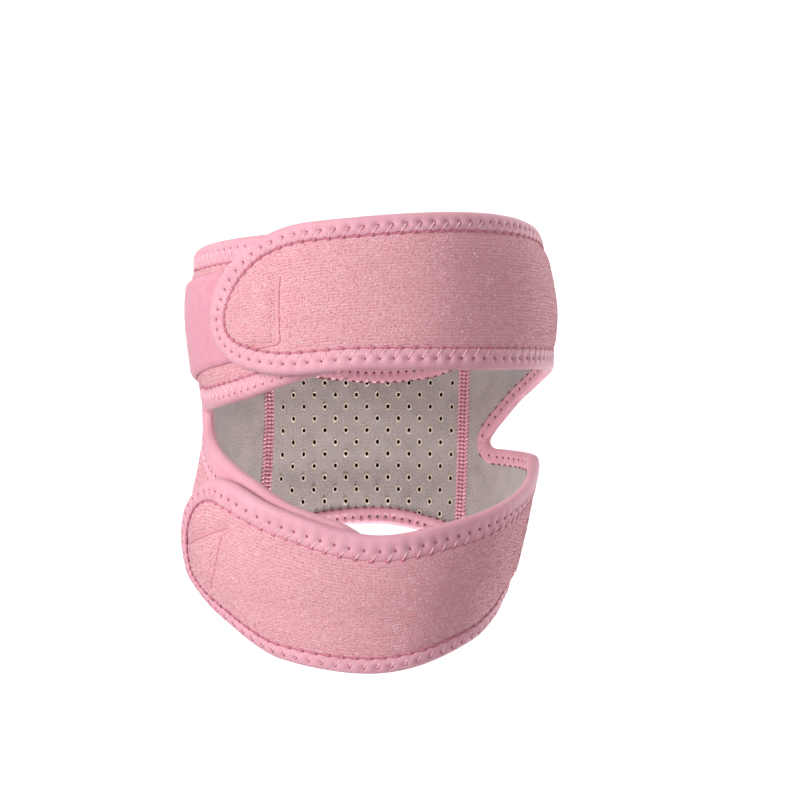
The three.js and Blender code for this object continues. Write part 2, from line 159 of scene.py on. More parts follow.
def new_piece(name, vertices, faces, materials, face_materials=None, cut=None):
    """A smooth mesh from points in millimetres, with its flat cut as a UV map, also in millimetres."""
    mesh = bpy.data.meshes.new(name)
    mesh.from_pydata((np.asarray(vertices, float) * MM).tolist(), [], faces)
    for material in materials:
        mesh.materials.append(material)
    mesh.polygons.foreach_set("use_smooth", np.ones(len(mesh.polygons), bool))
    if face_materials is not None:
        mesh.polygons.foreach_set("material_index", face_materials)
    if cut is not None:
        corner = np.zeros(len(mesh.loops), np.int32)
        mesh.loops.foreach_get("vertex_index", corner)
        layer = mesh.uv_layers.new(name="cut")
        layer.uv.foreach_set("vector", cut[corner].astype(np.float32).ravel())
    mesh.update()
    piece = bpy.data.objects.new(name, mesh)
    bpy.context.scene.collection.objects.link(piece)
    return piece


def thick_sheet(name, points, faces, lifts, materials):
    """A closed wall over a flat cut: the first material outside, the last one inside and on the rim."""
    run, z, across = points.T
    count = len(points)
    steps = [(a, b) for face in faces for a, b in zip(face, face[1:] + face[:1])]
    used = set(steps)
    rim = [(b, a, a + count, b + count) for a, b in steps if (b, a) not in used]
    under = [tuple(k + count for k in reversed(face)) for face in faces]
    vertices = np.concatenate([rolled(run, z, lift) for lift in lifts])
    last = len(materials) - 1
    face_materials = np.repeat([0, last, last], [len(faces), len(under), len(rim)]).astype(np.int32)
    cut = np.tile(np.stack([run, across], -1), (2, 1))
    return new_piece(name, vertices, faces + under + rim, materials, face_materials, cut)


def wall_lifts(past, lift):
    """Outer and inner faces of the wall: pressed thin under the tape, plump past it."""
    full = smoothstep(PRESSED["under"], PRESSED["under"] + PRESSED["plump"], past)
    outer = lift + WALL["edge"] + (WALL["outer"] - WALL["edge"]) * full
    inner = lift - WALL["edge"] - (WALL["inner"] - WALL["edge"]) * full
    return outer, inner


def linear(code):
    """Linear colour of an sRGB hex code."""
    srgb = [int(code[k : k + 2], 16) / 255 for k in (1, 3, 5)]
    return (*[c / 12.92 if c <= 0.04045 else ((c + 0.055) / 1.055) ** 2.4 for c in srgb], 1.0)


def add_node(tree, kind, inputs=None, steps=(), **settings):
    """A node with its settings and colour steps, and its inputs set to values or linked from other nodes."""
    node = tree.nodes.new(kind)
    for name, value in settings.items():
        setattr(node, name, value)
    for name, value in (inputs or {}).items():
        if isinstance(value, bpy.types.NodeSocket):
            tree.links.new(value, node.inputs[name])
        else:
            node.inputs[name].default_value = value
    for k, (place, code) in enumerate(steps):
        elements = node.color_ramp.elements
        step = elements[k] if k < len(elements) else elements.new(place)
        step.position = place
        step.color = linear(code)
    return node


def new_material(name, values):
    """A material with its shader's fixed values, and its tree and shader."""
    material = bpy.data.materials.new(name)
    material.use_nodes = True
    shader = material.node_tree.nodes["Principled BSDF"]
    for socket, value in values.items():
        shader.inputs[socket].default_value = value
    return material, material.node_tree, shader


def dye_and_grain(tree, shader, tone, dyes, grain=None, strength=0.0, depth=0.0):
    """Colours a material by the steps of a tone, and roughens it by a grain some millimetres deep."""
    colour = add_node(tree, "ShaderNodeValToRGB", {"Fac": tone}, dyes)
    tree.links.new(colour.outputs["Color"], shader.inputs["Base Color"])
    if grain is not None:
        relief = {"Height": grain, "Strength": strength, "Distance": depth * MM}
        bump = add_node(tree, "ShaderNodeBump", relief)
        tree.links.new(bump.outputs["Normal"], shader.inputs["Normal"])


def grey_jersey():
    """Knitted polyester jersey, heather grey: fine flecks and a soft matte nap with faint wales."""
    material, tree, shader = new_material(
        "grey_polyester_jersey",
        {"Roughness": 0.9, "IOR": 1.45, "Sheen Weight": 0.15, "Sheen Roughness": 0.5},
    )
    cut = add_node(tree, "ShaderNodeUVMap", uv_map="cut").outputs["UV"]
    # Flecks of mixed yarn about 0.6 mm long, with larger clouds where the dye took unevenly
    fleck = add_node(tree, "ShaderNodeTexNoise", {"Vector": cut, "Scale": 1 / 0.6, "Detail": 3.0})
    cloud = add_node(tree, "ShaderNodeTexNoise", {"Vector": cut, "Scale": 1 / 9, "Detail": 2.0})
    mixed = {0: cloud.outputs["Fac"], 1: 0.3, 2: fleck.outputs["Fac"]}
    tone = add_node(tree, "ShaderNodeMath", mixed, operation="MULTIPLY_ADD")
    # Wales 0.9 mm apart, coarser than the real knit so that they show
    wales = add_node(
        tree,
        "ShaderNodeTexWave",
        {"Vector": cut, "Scale": math.pi / (10 * 0.9), "Distortion": 1.5, "Detail Scale": 0.6},
        bands_direction="X",
    )
    knit = {0: wales.outputs["Fac"], 1: fleck.outputs["Fac"]}
    grain = add_node(tree, "ShaderNodeMath", knit, operation="ADD")
    dyes = ((0.45, "#958b89"), (0.65, "#b3a8a5"), (0.85, "#cbc0bb"))
    dye_and_grain(tree, shader, tone.outputs[0], dyes, grain.outputs[0], strength=0.3, depth=0.15)
    return material


def foam_in_a_hole():
    """Cut foam down inside a hole: nearly black, because little light comes back out."""
    material, tree, shader = new_material("shaded_cut_foam", {"Roughness": 1.0, "IOR": 1.45})
    place = add_node(tree, "ShaderNodeTexCoord").outputs["Object"]
    # Foam cells about 0.3 mm across
    cells = add_node(tree, "ShaderNodeTexVoronoi", {"Vector": place, "Scale": 1 / (0.3 * MM)})
    dye_and_grain(tree, shader, cells.outputs["Distance"], ((0.1, "#0d0908"), (0.8, "#1f1613")))
    return material


def cream_foam():
    """The foam's raw cream edge, pushed out round each punched hole: matte and a little uneven."""
    material, tree, shader = new_material("cream_cut_foam", {"Roughness": 0.85, "IOR": 1.45})
    place = add_node(tree, "ShaderNodeTexCoord").outputs["Object"]
    # Uneven patches about 0.8 mm across
    patch = add_node(tree, "ShaderNodeTexNoise", {"Vector": place, "Scale": 1 / (0.8 * MM)})
    dye_and_grain(tree, shader, patch.outputs["Fac"], ((0.3, "#cdbfa8"), (0.7, "#f3e6d0")))
    return material


def repeated(name, places, outs, alongs, spans, sizes, shape, material):
    """Repeats a small shape by geometry nodes, and keeps the result as a plain mesh.

    Each guide point has the place where the shape sits, its way out, its long way and its length.
    """
    guide = new_piece(name, places, [], [])
    for column, values, kind, key in (
        ("out", outs, "FLOAT_VECTOR", "vector"),
        ("along", np.broadcast_to(alongs, places.shape), "FLOAT_VECTOR", "vector"),
        ("span", np.broadcast_to(np.asarray(spans, float) * MM, len(places)), "FLOAT", "value"),
    ):
        attribute = guide.data.attributes.new(column, kind, "POINT")
        attribute.data.foreach_set(key, np.array(values, np.float32).ravel())
    tree = bpy.data.node_groups.new(name, "GeometryNodeTree")
    tree.interface.new_socket("Points", in_out="INPUT", socket_type="NodeSocketGeometry")
    tree.interface.new_socket("Pieces", in_out="OUTPUT", socket_type="NodeSocketGeometry")
    sockets = {
        size: tree.interface.new_socket(size, in_out="INPUT", socket_type="NodeSocketFloat") for size in sizes
    }
    given = add_node(tree, "NodeGroupInput")
    out, along, span = (
        add_node(tree, "GeometryNodeInputNamedAttribute", {"Name": column}, data_type=kind).outputs[0]
        for column, kind in (("out", "FLOAT_VECTOR"), ("along", "FLOAT_VECTOR"), ("span", "FLOAT"))
    )
    turn = add_node(
        tree,
        "FunctionNodeAxesToRotation",
        {"Primary Axis": out, "Secondary Axis": along},
        primary_axis="Z",
        secondary_axis="X",
    )
    stretch = add_node(tree, "ShaderNodeCombineXYZ", {"X": span, "Y": 1.0, "Z": 1.0})
    smooth = add_node(tree, "GeometryNodeSetShadeSmooth", {"Geometry": shape(tree, given.outputs)})
    many = add_node(
        tree,
        "GeometryNodeInstanceOnPoints",
        {
            "Points": given.outputs["Points"],
            "Instance": smooth.outputs["Geometry"],
            "Rotation": turn.outputs["Rotation"],
            "Scale": stretch.outputs["Vector"],
        },
    )
    real = add_node(tree, "GeometryNodeRealizeInstances", {"Geometry": many.outputs["Instances"]})
    dressed = add_node(
        tree, "GeometryNodeSetMaterial", {"Geometry": real.outputs["Geometry"], "Material": material}
    )
    add_node(tree, "NodeGroupOutput", {"Pieces": dressed.outputs["Geometry"]})
    modifier = guide.modifiers.new("repeat", "NODES")
    modifier.node_group = tree
    for size, value in sizes.items():
        modifier[sockets[size].identifier] = value * MM
    guide.update_tag()
    points = guide.data
    guide.data = evaluated_mesh(guide)
    guide.modifiers.clear()
    bpy.data.meshes.remove(points)
    guide.data.name = name
    return guide


def evaluated_mesh(piece):
    """A piece's mesh with its modifiers worked out."""
    bpy.context.view_layer.update()
    return bpy.data.meshes.new_from_object(piece.evaluated_get(bpy.context.evaluated_depsgraph_get()))


def breather_places():
    """Middles of the breather holes on the flat cut, in staggered rows clear of the tape and the seams."""
    rows = BREATHER_ROWS
    columns = int(BACK_REACH / rows["pitch"]) - 1
    places = []
    for i in range(-rows["most"], rows["most"] + 1):
        for j in range(-columns, columns + 1):
            across = rows["offset"] + (j + 0.5 * (i % 2)) * rows["pitch"]
            angle = BACK - math.degrees(math.asin(across / BACK_REACH))
            z = rows["at"] + i * rows["row"]
            low, high = whole_edges(0)(angle)
            from_seams = min(angle - RIGHT_SEAM, LEFT_SEAM - angle) * RUN_PER_DEGREE - SEAM["half"]
            from_edges = min(high - z, z - low)
            if from_seams > BREATHER["from_seam"] and from_edges > BREATHER["from_edge"]:
                places.append((angle * RUN_PER_DEGREE, z))
    return np.array(places)


def pin_shape(tree, sizes):
    """A round punch."""
    pin = {"Vertices": 14, "Radius": sizes["Radius"], "Depth": sizes["Depth"]}
    return add_node(tree, "GeometryNodeMeshCylinder", pin).outputs["Mesh"]


def ring_shape(tree, sizes):
    """A ring of round section."""
    ring, section = (
        add_node(tree, "GeometryNodeCurvePrimitiveCircle", {"Resolution": count, "Radius": radius})
        for count, radius in ((16, sizes["Radius"]), (6, sizes["Thickness"]))
    )
    swept = {"Curve": ring.outputs["Curve"], "Profile Curve": section.outputs["Curve"]}
    return add_node(tree, "GeometryNodeCurveToMesh", swept).outputs["Mesh"]


jersey = grey_jersey()
half_gap = SEAM_GAP / 2 / RUN_PER_DEGREE
back_angles = np.linspace(RIGHT_SEAM + half_gap, LEFT_SEAM - half_gap, BACK_GRID["columns"])
back_grid = band_grid(back_angles, whole_edges(TUCK), BACK_GRID["rows"], BACK_GRID["across"])
points, faces = joined([back_grid])
run, z, _ = points.T
low, high = whole_edges(0)(run / RUN_PER_DEGREE)
past = np.minimum(high - z, z - low)
centre_panel = thick_sheet("centre_panel_cloth", points, faces, wall_lifts(past, 0 * z), [jersey])

holes = breather_places()
hole_middles, hole_outs = leg_form(holes[:, 0], holes[:, 1])
mouths = hole_middles - hole_outs * WALL["inner"]
oval = BREATHER["oval"] / MM
pin = {"Radius": BREATHER["radius"], "Depth": 2 * BREATHER["depth"]}
pins = repeated("breather_pins", mouths, hole_outs, UPRIGHT, oval, pin, pin_shape, foam_in_a_hole())
punch = centre_panel.modifiers.new("punch", "BOOLEAN")
punch.object = pins
punch.solver = "EXACT"
punch.material_mode = "TRANSFER"
centre_panel.data = evaluated_mesh(centre_panel)
centre_panel.modifiers.clear()
bpy.data.objects.remove(pins)
ring = {"Radius": RIM["radius"], "Thickness": RIM["thick"]}
rims = repeated("breather_rims", mouths, hole_outs, UPRIGHT, oval, ring, ring_shape, cream_foam())
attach(centre_panel, "root")
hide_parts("centre_panel")
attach(rims, "root")


# Strap panel: the right side of the sleeve, cut in one with the upper and the lower strap. Neoprene foam with
# pink brushed loop pile outside and grey jersey inside; the straps climb over the tabs at the front.
UPPER_STRAP_LOW = {
    "angle": (-54, -40, -28, 0, 60, 80, 95, 112, 130),
    "z": (15.5, 21.2, 24.1, 27, 27.2, 26.6, 24, 17, 2.2),
}
LOWER_STRAP_HIGH = {
    "angle": (-77, -63, -54, -45, -26, 3, 25, 50, 85, 95, 130),
    "z": (-17, -10.4, -8.8, -10.4, -18.6, -26.9, -23.2, -17.4, -6.8, -3.8, -3),
}
UPPER_STRAP_END = {"tip": -49.5, "start": -17}
LOWER_STRAP_END = {"tip": -77, "start": -46}
RIGHT_NOTCH = {"tip": 131, "start": 127}
# A forked panel: its notch, its arms' ends, its seam, and the order of tip and notch as the angle rises
STRAP_FORK = {
    "notch_edges": (LOWER_STRAP_HIGH, UPPER_STRAP_LOW),
    "notch": RIGHT_NOTCH,
    "ends": (LOWER_STRAP_END, UPPER_STRAP_END),
    "seam": RIGHT_SEAM - half_gap,
    "tip_columns": 26,
    "order": 1,
}
LOWER, UPPER = 0, 1
STRAP_LIFT = {"upper": 6.9, "lower": 5.2, "flat": 85, "full": 12}
COLUMN_STEP = 1.1
RIM_STEP = 0.3
NOTCH_COLUMNS = 8
BAND_ROWS = 42
ACROSS = ((0, 47), (47, 98))
# Slack of worn cloth: its height, its waves round the leg and up it, and how far each sways the other
SLACK = {"height": 0.2, "run": 6.3, "run_sway": 1.4, "sway_z": 8.7, "z": 5.9, "z_sway": 0.8, "sway_run": 11}
# Lines of stitches that hold the hook patches under the strap ends, as angles and heights
UPPER_LINE = {"angle": (-24.6, -24.8, -24.8, -36.5), "z": (57.5, 46, 35.6, 33.4)}
LOWER_LINE = {"angle": (-68, -44.1), "z": (-33.4, -25.8)}
LOWER_BEND = {"angle": (-46.9, -49.5, -53.2, -58.5), "z": (-28.2, -33.5, -41.5, -47.5)}
SEWN_LINES = (UPPER_LINE, LOWER_LINE, LOWER_BEND)
GROOVE = {"depth": 0.9, "width": 1.8, "step": 0.4}


def round_end(low, high, end):
    """Two edges drawn together into a round end: a strap's tip or the inner end of a notch."""

    def edges(angle):
        share = np.clip((angle - end["start"]) / (end["tip"] - end["start"]), 0, 1)
        opening = np.sqrt(1 - share**2)
        bottom, top = low(angle), high(angle)
        middle, half = (bottom + top) / 2, (top - bottom) / 2
        return middle - half * opening, middle + half * opening

    return edges


def tip_moved(end, by):
    return {**end, "tip": end["tip"] + by / RUN_PER_DEGREE}


def end_angles(end, count):
    """Angles that step evenly round an end, from its start to its tip."""
    return end["start"] + (end["tip"] - end["start"]) * np.sin(np.linspace(0, math.pi / 2, count + 1))


def between(start, stop, step):
    return np.linspace(start, stop, max(2, round(abs(stop - start) / step) + 1))


def both_edges(edges, angles):
    """Points along both edges of a band."""
    return [np.stack([angles * RUN_PER_DEGREE, z], -1) for z in edges(angles)]


def fork_edges(fork, tuck):
    """Edges of the lower and the upper arm of a forked panel, drawn in from the cut by a tuck."""
    by = fork["order"] * tuck
    low, high = fork["notch_edges"]
    lower_end, upper_end = (tip_moved(end, by) for end in fork["ends"])
    notch = round_end(edge(low, -tuck), edge(high, tuck), tip_moved(fork["notch"], by))
    lower = round_end(edge(BOTTOM_EDGE, tuck), lambda angle: notch(angle)[0], lower_end)
    upper = round_end(lambda angle: notch(angle)[1], edge(TOP_EDGE, -tuck), upper_end)
    return lower, upper


def fork_angles(fork, arm, tuck, step):
    """Angles of the columns along an arm, closer together round its tip and round the notch."""
    by = fork["order"] * tuck
    tip = (tip_moved(fork["ends"][arm], by), fork["tip_columns"])
    notch = (tip_moved(fork["notch"], by), NOTCH_COLUMNS)
    first, last = (tip, notch)[:: fork["order"]]
    middle = between(first[0]["start"], last[0]["start"], step)[1:-1]
    return np.concatenate([end_angles(*first)[::-1], middle, end_angles(*last)])


def forked_cut(fork):
    """A forked panel laid flat: its mesh, the line of its rim, and the edges of its arms and its side."""
    notch = tip_moved(fork["notch"], fork["order"] * TUCK)["tip"]
    arms = fork_edges(fork, TUCK)
    ridge = float(arms[UPPER](np.array([notch]))[0][0])
    side = between(*(notch, fork["seam"])[:: fork["order"]], COLUMN_STEP)
    side_halves = (
        lambda angle: (edge(BOTTOM_EDGE, TUCK)(angle), ridge + 0 * angle),
        lambda angle: (ridge + 0 * angle, edge(TOP_EDGE, -TUCK)(angle)),
    )
    grids = [
        band_grid(fork_angles(fork, arm, TUCK, COLUMN_STEP), arms[arm], BAND_ROWS, ACROSS[arm])
        for arm in (LOWER, UPPER)
    ]
    grids += [band_grid(side, side_halves[half], BAND_ROWS, ACROSS[half]) for half in (LOWER, UPPER)]
    points, faces = joined(grids)
    cuts = fork_edges(fork, 0)
    walks = [fork_angles(fork, arm, 0, RIM_STEP) for arm in (LOWER, UPPER)]
    rim = [line for arm in (LOWER, UPPER) for line in both_edges(cuts[arm], walks[arm])]
    rim = np.concatenate(rim + both_edges(whole_edges(0), side))
    return {"points": points, "faces": faces, "rim": rim, "cuts": cuts, "walks": walks, "side": side_halves}


def nearest(points, line):
    """Number and distance of the nearest point on a line of close points, for each point of the cut."""
    tree = KDTree(len(line))
    for k, (run, z) in enumerate(line):
        tree.insert((run, z, 0), k)
    tree.balance()
    found = np.array([tree.find((run, z, 0))[1:] for run, z in points])
    return found[:, 0].astype(int), found[:, 1]


def slack(run, z):
    """Soft unevenness of worn cloth, about 20 mm from crest to crest."""
    around = np.sin(run / SLACK["run"] + SLACK["run_sway"] * np.sin(z / SLACK["sway_z"]))
    upwards = np.sin(z / SLACK["z"] + SLACK["z_sway"] * np.sin(run / SLACK["sway_run"]))
    return SLACK["height"] * around * upwards


def strap_lift(run, z):
    """How far the cloth stands out: its slack, and the straps' climb over the tabs."""
    climb = 1 - smoothstep(STRAP_LIFT["full"], STRAP_LIFT["flat"], run / RUN_PER_DEGREE)
    return climb * np.where(z > 0, STRAP_LIFT["upper"], STRAP_LIFT["lower"]) + slack(run, z)


def close_points(table, step):
    """Close points of run and z along a line of stitches, a step apart."""
    corners = np.stack([np.array(table["angle"]) * RUN_PER_DEGREE, table["z"]], -1)
    length = np.concatenate([[0], np.cumsum(np.linalg.norm(np.diff(corners, axis=0), axis=1))])
    at = np.linspace(0, length[-1], round(length[-1] / step) + 1)
    return np.stack([np.interp(at, length, corners[:, k]) for k in (0, 1)], -1)


def strap_faces(run, z):
    """Outer and inner faces of the strap panel, with the outer one drawn in along the lines of stitches."""
    flat = np.stack([run, z], -1)
    outer, inner = wall_lifts(nearest(flat, strap["rim"])[1], strap_lift(run, z))
    return outer - GROOVE["depth"] * np.exp(-((nearest(flat, sewn)[1] / GROOVE["width"]) ** 2)), inner


def brushed_pile():
    """Brushed loop pile on a knitted ground: rows of soft loops coloured by their height, with tips painted
    pale as highlight and the gaps between them painted deep pink as shade.
    """
    material, tree, shader = new_material(
        "pink_brushed_loop_pile",
        {"Roughness": 0.95, "IOR": 1.45, "Sheen Weight": 0.4, "Sheen Roughness": 0.4},
    )
    shader.inputs["Sheen Tint"].default_value = linear("#ffe6ea")
    cut = add_node(tree, "ShaderNodeUVMap", uv_map="cut").outputs["UV"]
    # Loops lie in rows 1.1 mm apart, which waver where the pile was brushed
    rows = add_node(
        tree,
        "ShaderNodeTexWave",
        {"Vector": cut, "Scale": math.pi / (10 * 1.1), "Distortion": 2.5, "Detail": 1.0, "Detail Scale": 0.5},
        bands_direction="Y",
    )
    # Single loops, 0.9 mm long and 0.5 mm wide, and brushed patches about 7 mm across
    loop_size = add_node(tree, "ShaderNodeMapping", {"Vector": cut, "Scale": (1 / 0.9, 1 / 0.5, 1.0)})
    loops = add_node(
        tree, "ShaderNodeTexNoise", {"Vector": loop_size.outputs["Vector"], "Scale": 1.0, "Detail": 3.0}
    )
    patches = add_node(tree, "ShaderNodeTexNoise", {"Vector": cut, "Scale": 1 / 7, "Detail": 2.0})
    in_rows = {0: rows.outputs["Fac"], 1: 0.2, 2: loops.outputs["Fac"]}
    height = add_node(tree, "ShaderNodeMath", in_rows, operation="MULTIPLY_ADD").outputs[0]
    in_patches = {0: patches.outputs["Fac"], 1: 0.2, 2: height}
    tone = add_node(tree, "ShaderNodeMath", in_patches, operation="MULTIPLY_ADD").outputs[0]
    # Colour follows the height of rows and loops: painted shade in the low gaps, painted highlight on the
    # high tips; the brushed patches add tone that differs at random.
    dyes = ((0.45, "#dc959e"), (0.65, "#e4a3ac"), (0.85, "#ebb2ba"), (0.98, "#f6cbd1"))
    dye_and_grain(tree, shader, tone, dyes, height, strength=0.6, depth=0.4)
    return material


pile = brushed_pile()
strap = forked_cut(STRAP_FORK)
sewn = np.concatenate([close_points(line, GROOVE["step"]) for line in SEWN_LINES])
strap_walls = strap_faces(*strap["points"].T[:2])
strap_panel = thick_sheet("strap_panel_cloth", strap["points"], strap["faces"], strap_walls, [pile, jersey])
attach(strap_panel, "root")
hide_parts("strap_panel")


# Tab panel: the left side of the sleeve, cut in one with the two tabs that run under the straps.
# The same laminate as the strap panel, with its loop pile outside for the straps' hooks to grip.
UPPER_TAB_LOW = {"angle": (280, 290, 313, 347, 368), "z": (13.2, 13.6, 16.8, 26, 30)}
LOWER_TAB_HIGH = {"angle": (280, 287, 294, 303, 322, 339, 368), "z": (8.8, 5.2, 1.6, -2.4, -10.9, -19, -27)}
TAB_END = {"tip": 368, "start": 347}
LEFT_NOTCH = {"tip": 280, "start": 286}
TAB_FORK = {
    "notch_edges": (LOWER_TAB_HIGH, UPPER_TAB_LOW),
    "notch": LEFT_NOTCH,
    "ends": (TAB_END, TAB_END),
    "seam": LEFT_SEAM + half_gap,
    "tip_columns": 20,
    "order": -1,
}


def tab_faces(run, z):
    """Outer and inner faces of the tab panel."""
    return wall_lifts(nearest(np.stack([run, z], -1), tab["rim"])[1], slack(run, z))


tab = forked_cut(TAB_FORK)
tab_walls = tab_faces(*tab["points"].T[:2])
tab_panel = thick_sheet("tab_panel_cloth", tab["points"], tab["faces"], tab_walls, [pile, jersey])
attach(tab_panel, "root")
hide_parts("tab_panel")


# Landing band: a thick smooth band of pink velour bonded to the upper tab, which the upper strap's end grips.
# Its edges are rolled thin, so it has no stitches.
LANDING = {"from": 252, "to": 322, "below_top": 11.4, "low_from": 20.5, "low_to": 31}
LANDING_LIFT = {"inner": 2.1, "outer": 4.1}
LANDING_EDGE = {"roll": 2.6, "lip": 0.5}
LANDING_GRID = {"step": 0.7, "rows": 72, "across": (0, 45)}


def smooth_velour():
    """Close-cropped velour: matte and even, with a faint cloudy nap and no rows."""
    material, tree, shader = new_material(
        "pink_cropped_velour",
        {"Roughness": 0.85, "IOR": 1.45, "Sheen Weight": 0.3, "Sheen Roughness": 0.5},
    )
    cut = add_node(tree, "ShaderNodeUVMap", uv_map="cut").outputs["UV"]
    # Nap clouds about 5 mm across over a 0.5 mm grain
    cloud = add_node(tree, "ShaderNodeTexNoise", {"Vector": cut, "Scale": 1 / 5, "Detail": 3.0})
    grain = add_node(tree, "ShaderNodeTexNoise", {"Vector": cut, "Scale": 1 / 0.5, "Detail": 1.0})
    dyes = ((0.3, "#e091a5"), (0.7, "#e69cae"))
    dye_and_grain(tree, shader, cloud.outputs["Fac"], dyes, grain.outputs["Fac"], strength=0.25, depth=0.1)
    return material


def landing_edges(angle):
    share = (angle - LANDING["from"]) / (LANDING["to"] - LANDING["from"])
    low = LANDING["low_from"] + (LANDING["low_to"] - LANDING["low_from"]) * share
    return low, edge(TOP_EDGE, -LANDING["below_top"])(angle)


landing_angles = between(LANDING["from"], LANDING["to"], LANDING_GRID["step"])
landing_grid = band_grid(landing_angles, landing_edges, LANDING_GRID["rows"], LANDING_GRID["across"])
points, faces = joined([landing_grid])
run, z, _ = points.T
low, high = landing_edges(run / RUN_PER_DEGREE)
from_start = run - LANDING["from"] * RUN_PER_DEGREE
to_end = LANDING["to"] * RUN_PER_DEGREE - run
from_border = np.minimum.reduce([z - low, high - z, from_start, to_end])
roll = np.sqrt(1 - (1 - np.clip(from_border / LANDING_EDGE["roll"], 0, 1)) ** 2)
full_thickness = LANDING_LIFT["outer"] - LANDING_LIFT["inner"]
thickness = LANDING_EDGE["lip"] + (full_thickness - LANDING_EDGE["lip"]) * roll
landing_lifts = (LANDING_LIFT["inner"] + thickness, LANDING_LIFT["inner"] + 0 * z)
landing_band = thick_sheet("landing_band_velour", points, faces, landing_lifts, [smooth_velour()])
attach(landing_band, "root")
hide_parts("landing_band")


# Flat seams: the centre panel is joined edge to edge to the two sides by a pink flatlock seam on both faces.
# Each is a bed of crossing thread, painted dark pink as the shade under three columns of stout covering
# stitches.
SEAM_COLUMNS = (
    {"at": -1.95, "wide": 1.7, "slope": 0.7},
    {"at": 0.0, "wide": 1.5, "slope": 0.15},
    {"at": 1.95, "wide": 1.7, "slope": 0.7},
)
SEAM_GRID = {"columns": 9, "rows": 60}
SEAM_THREAD = {"Radius": 0.44, "Rise": 0.4, "Sink": 0.1}
SEAM_HOLE = {"Radius": 0.3, "Depth": 0.16}
SEAM_HOLE_AT = 0.98
SEAM_HOLE_STAND = 0.25
STITCH_DETAIL = {"bends": 5, "sides": 6}


def arch_shape(bends, sides):
    """A maker of arches of round thread, as long as their guide points say, with so many bends and sides."""

    def shape(tree, sizes):
        raised = {0: sizes["Rise"], 1: 2.0, 2: sizes["Sink"]}
        top = add_node(tree, "ShaderNodeMath", raised, operation="MULTIPLY_ADD")
        foot = add_node(tree, "ShaderNodeMath", {0: sizes["Sink"], 1: -1.0}, operation="MULTIPLY")
        start, middle, end = (
            add_node(tree, "ShaderNodeCombineXYZ", {"X": x, "Z": height.outputs[0]}).outputs["Vector"]
            for x, height in ((-0.5, foot), (0.0, top), (0.5, foot))
        )
        ends = {"Resolution": bends, "Start": start, "Middle": middle, "End": end}
        arch = add_node(tree, "GeometryNodeCurveQuadraticBezier", ends)
        round_section = {"Resolution": sides, "Radius": sizes["Radius"]}
        section = add_node(tree, "GeometryNodeCurvePrimitiveCircle", round_section)
        return add_node(
            tree,
            "GeometryNodeCurveToMesh",
            {"Curve": arch.outputs["Curve"], "Profile Curve": section.outputs["Curve"], "Fill Caps": True},
        ).outputs["Mesh"]

    return shape


def lens_shape(tree, sizes):
    """A flat lens: a needle hole that fills its pit and takes a dark colour as painted shade, or the head of
    a hook.
    """
    ball = add_node(tree, "GeometryNodeMeshUVSphere", {"Segments": 10, "Rings": 5, "Radius": sizes["Radius"]})
    share = add_node(
        tree, "ShaderNodeMath", {0: sizes["Depth"], 1: sizes["Radius"]}, operation="DIVIDE"
    )
    flat = add_node(tree, "ShaderNodeCombineXYZ", {"X": 1.0, "Y": 1.0, "Z": share.outputs[0]})
    return add_node(
        tree, "GeometryNodeTransform", {"Geometry": ball.outputs["Mesh"], "Scale": flat.outputs["Vector"]}
    ).outputs["Geometry"]


def stitch_pieces(name, starts, ends, outs, sizes, material):
    """A run of stitches between pairs of points."""
    way = ends - starts
    length = np.linalg.norm(way, axis=-1)
    way /= length[:, None]
    thread_shape = arch_shape(**STITCH_DETAIL)
    return repeated(name, (starts + ends) / 2, outs, way, length, sizes, thread_shape, material)


def lens_pieces(name, places, outs, ways, sizes, material, stretch=1.0):
    """A run of needle holes, dashes of thread or hooks, which a stretch draws out along their ways."""
    return repeated(name, places, outs, ways, stretch / MM, sizes, lens_shape, material)


def stacked(rows):
    """Each column of rows of arrays, as one array."""
    return [np.concatenate(column) for column in zip(*rows)]


def sewing_thread(name, dark, light):
    """Spun polyester thread: a soft lustre, and a tone that shifts along its twist."""
    material, tree, shader = new_material(
        name, {"Roughness": 0.7, "IOR": 1.5, "Sheen Weight": 0.2, "Sheen Roughness": 0.4}
    )
    place = add_node(tree, "ShaderNodeTexCoord").outputs["Object"]
    # Tone shifts about 1.2 mm long, over a twist drawn 0.5 mm apart, coarser than it is, so that it shows
    shift = add_node(tree, "ShaderNodeTexNoise", {"Vector": place, "Scale": 1 / (1.2 * MM), "Detail": 1.0})
    twist = add_node(
        tree,
        "ShaderNodeTexWave",
        {"Vector": place, "Scale": math.pi / (10 * 0.5 * MM), "Distortion": 2.0},
        bands_direction="DIAGONAL",
    )
    dyes = ((0.3, dark), (0.7, light))
    dye_and_grain(tree, shader, shift.outputs["Fac"], dyes, twist.outputs["Fac"], strength=0.3, depth=0.08)
    return material


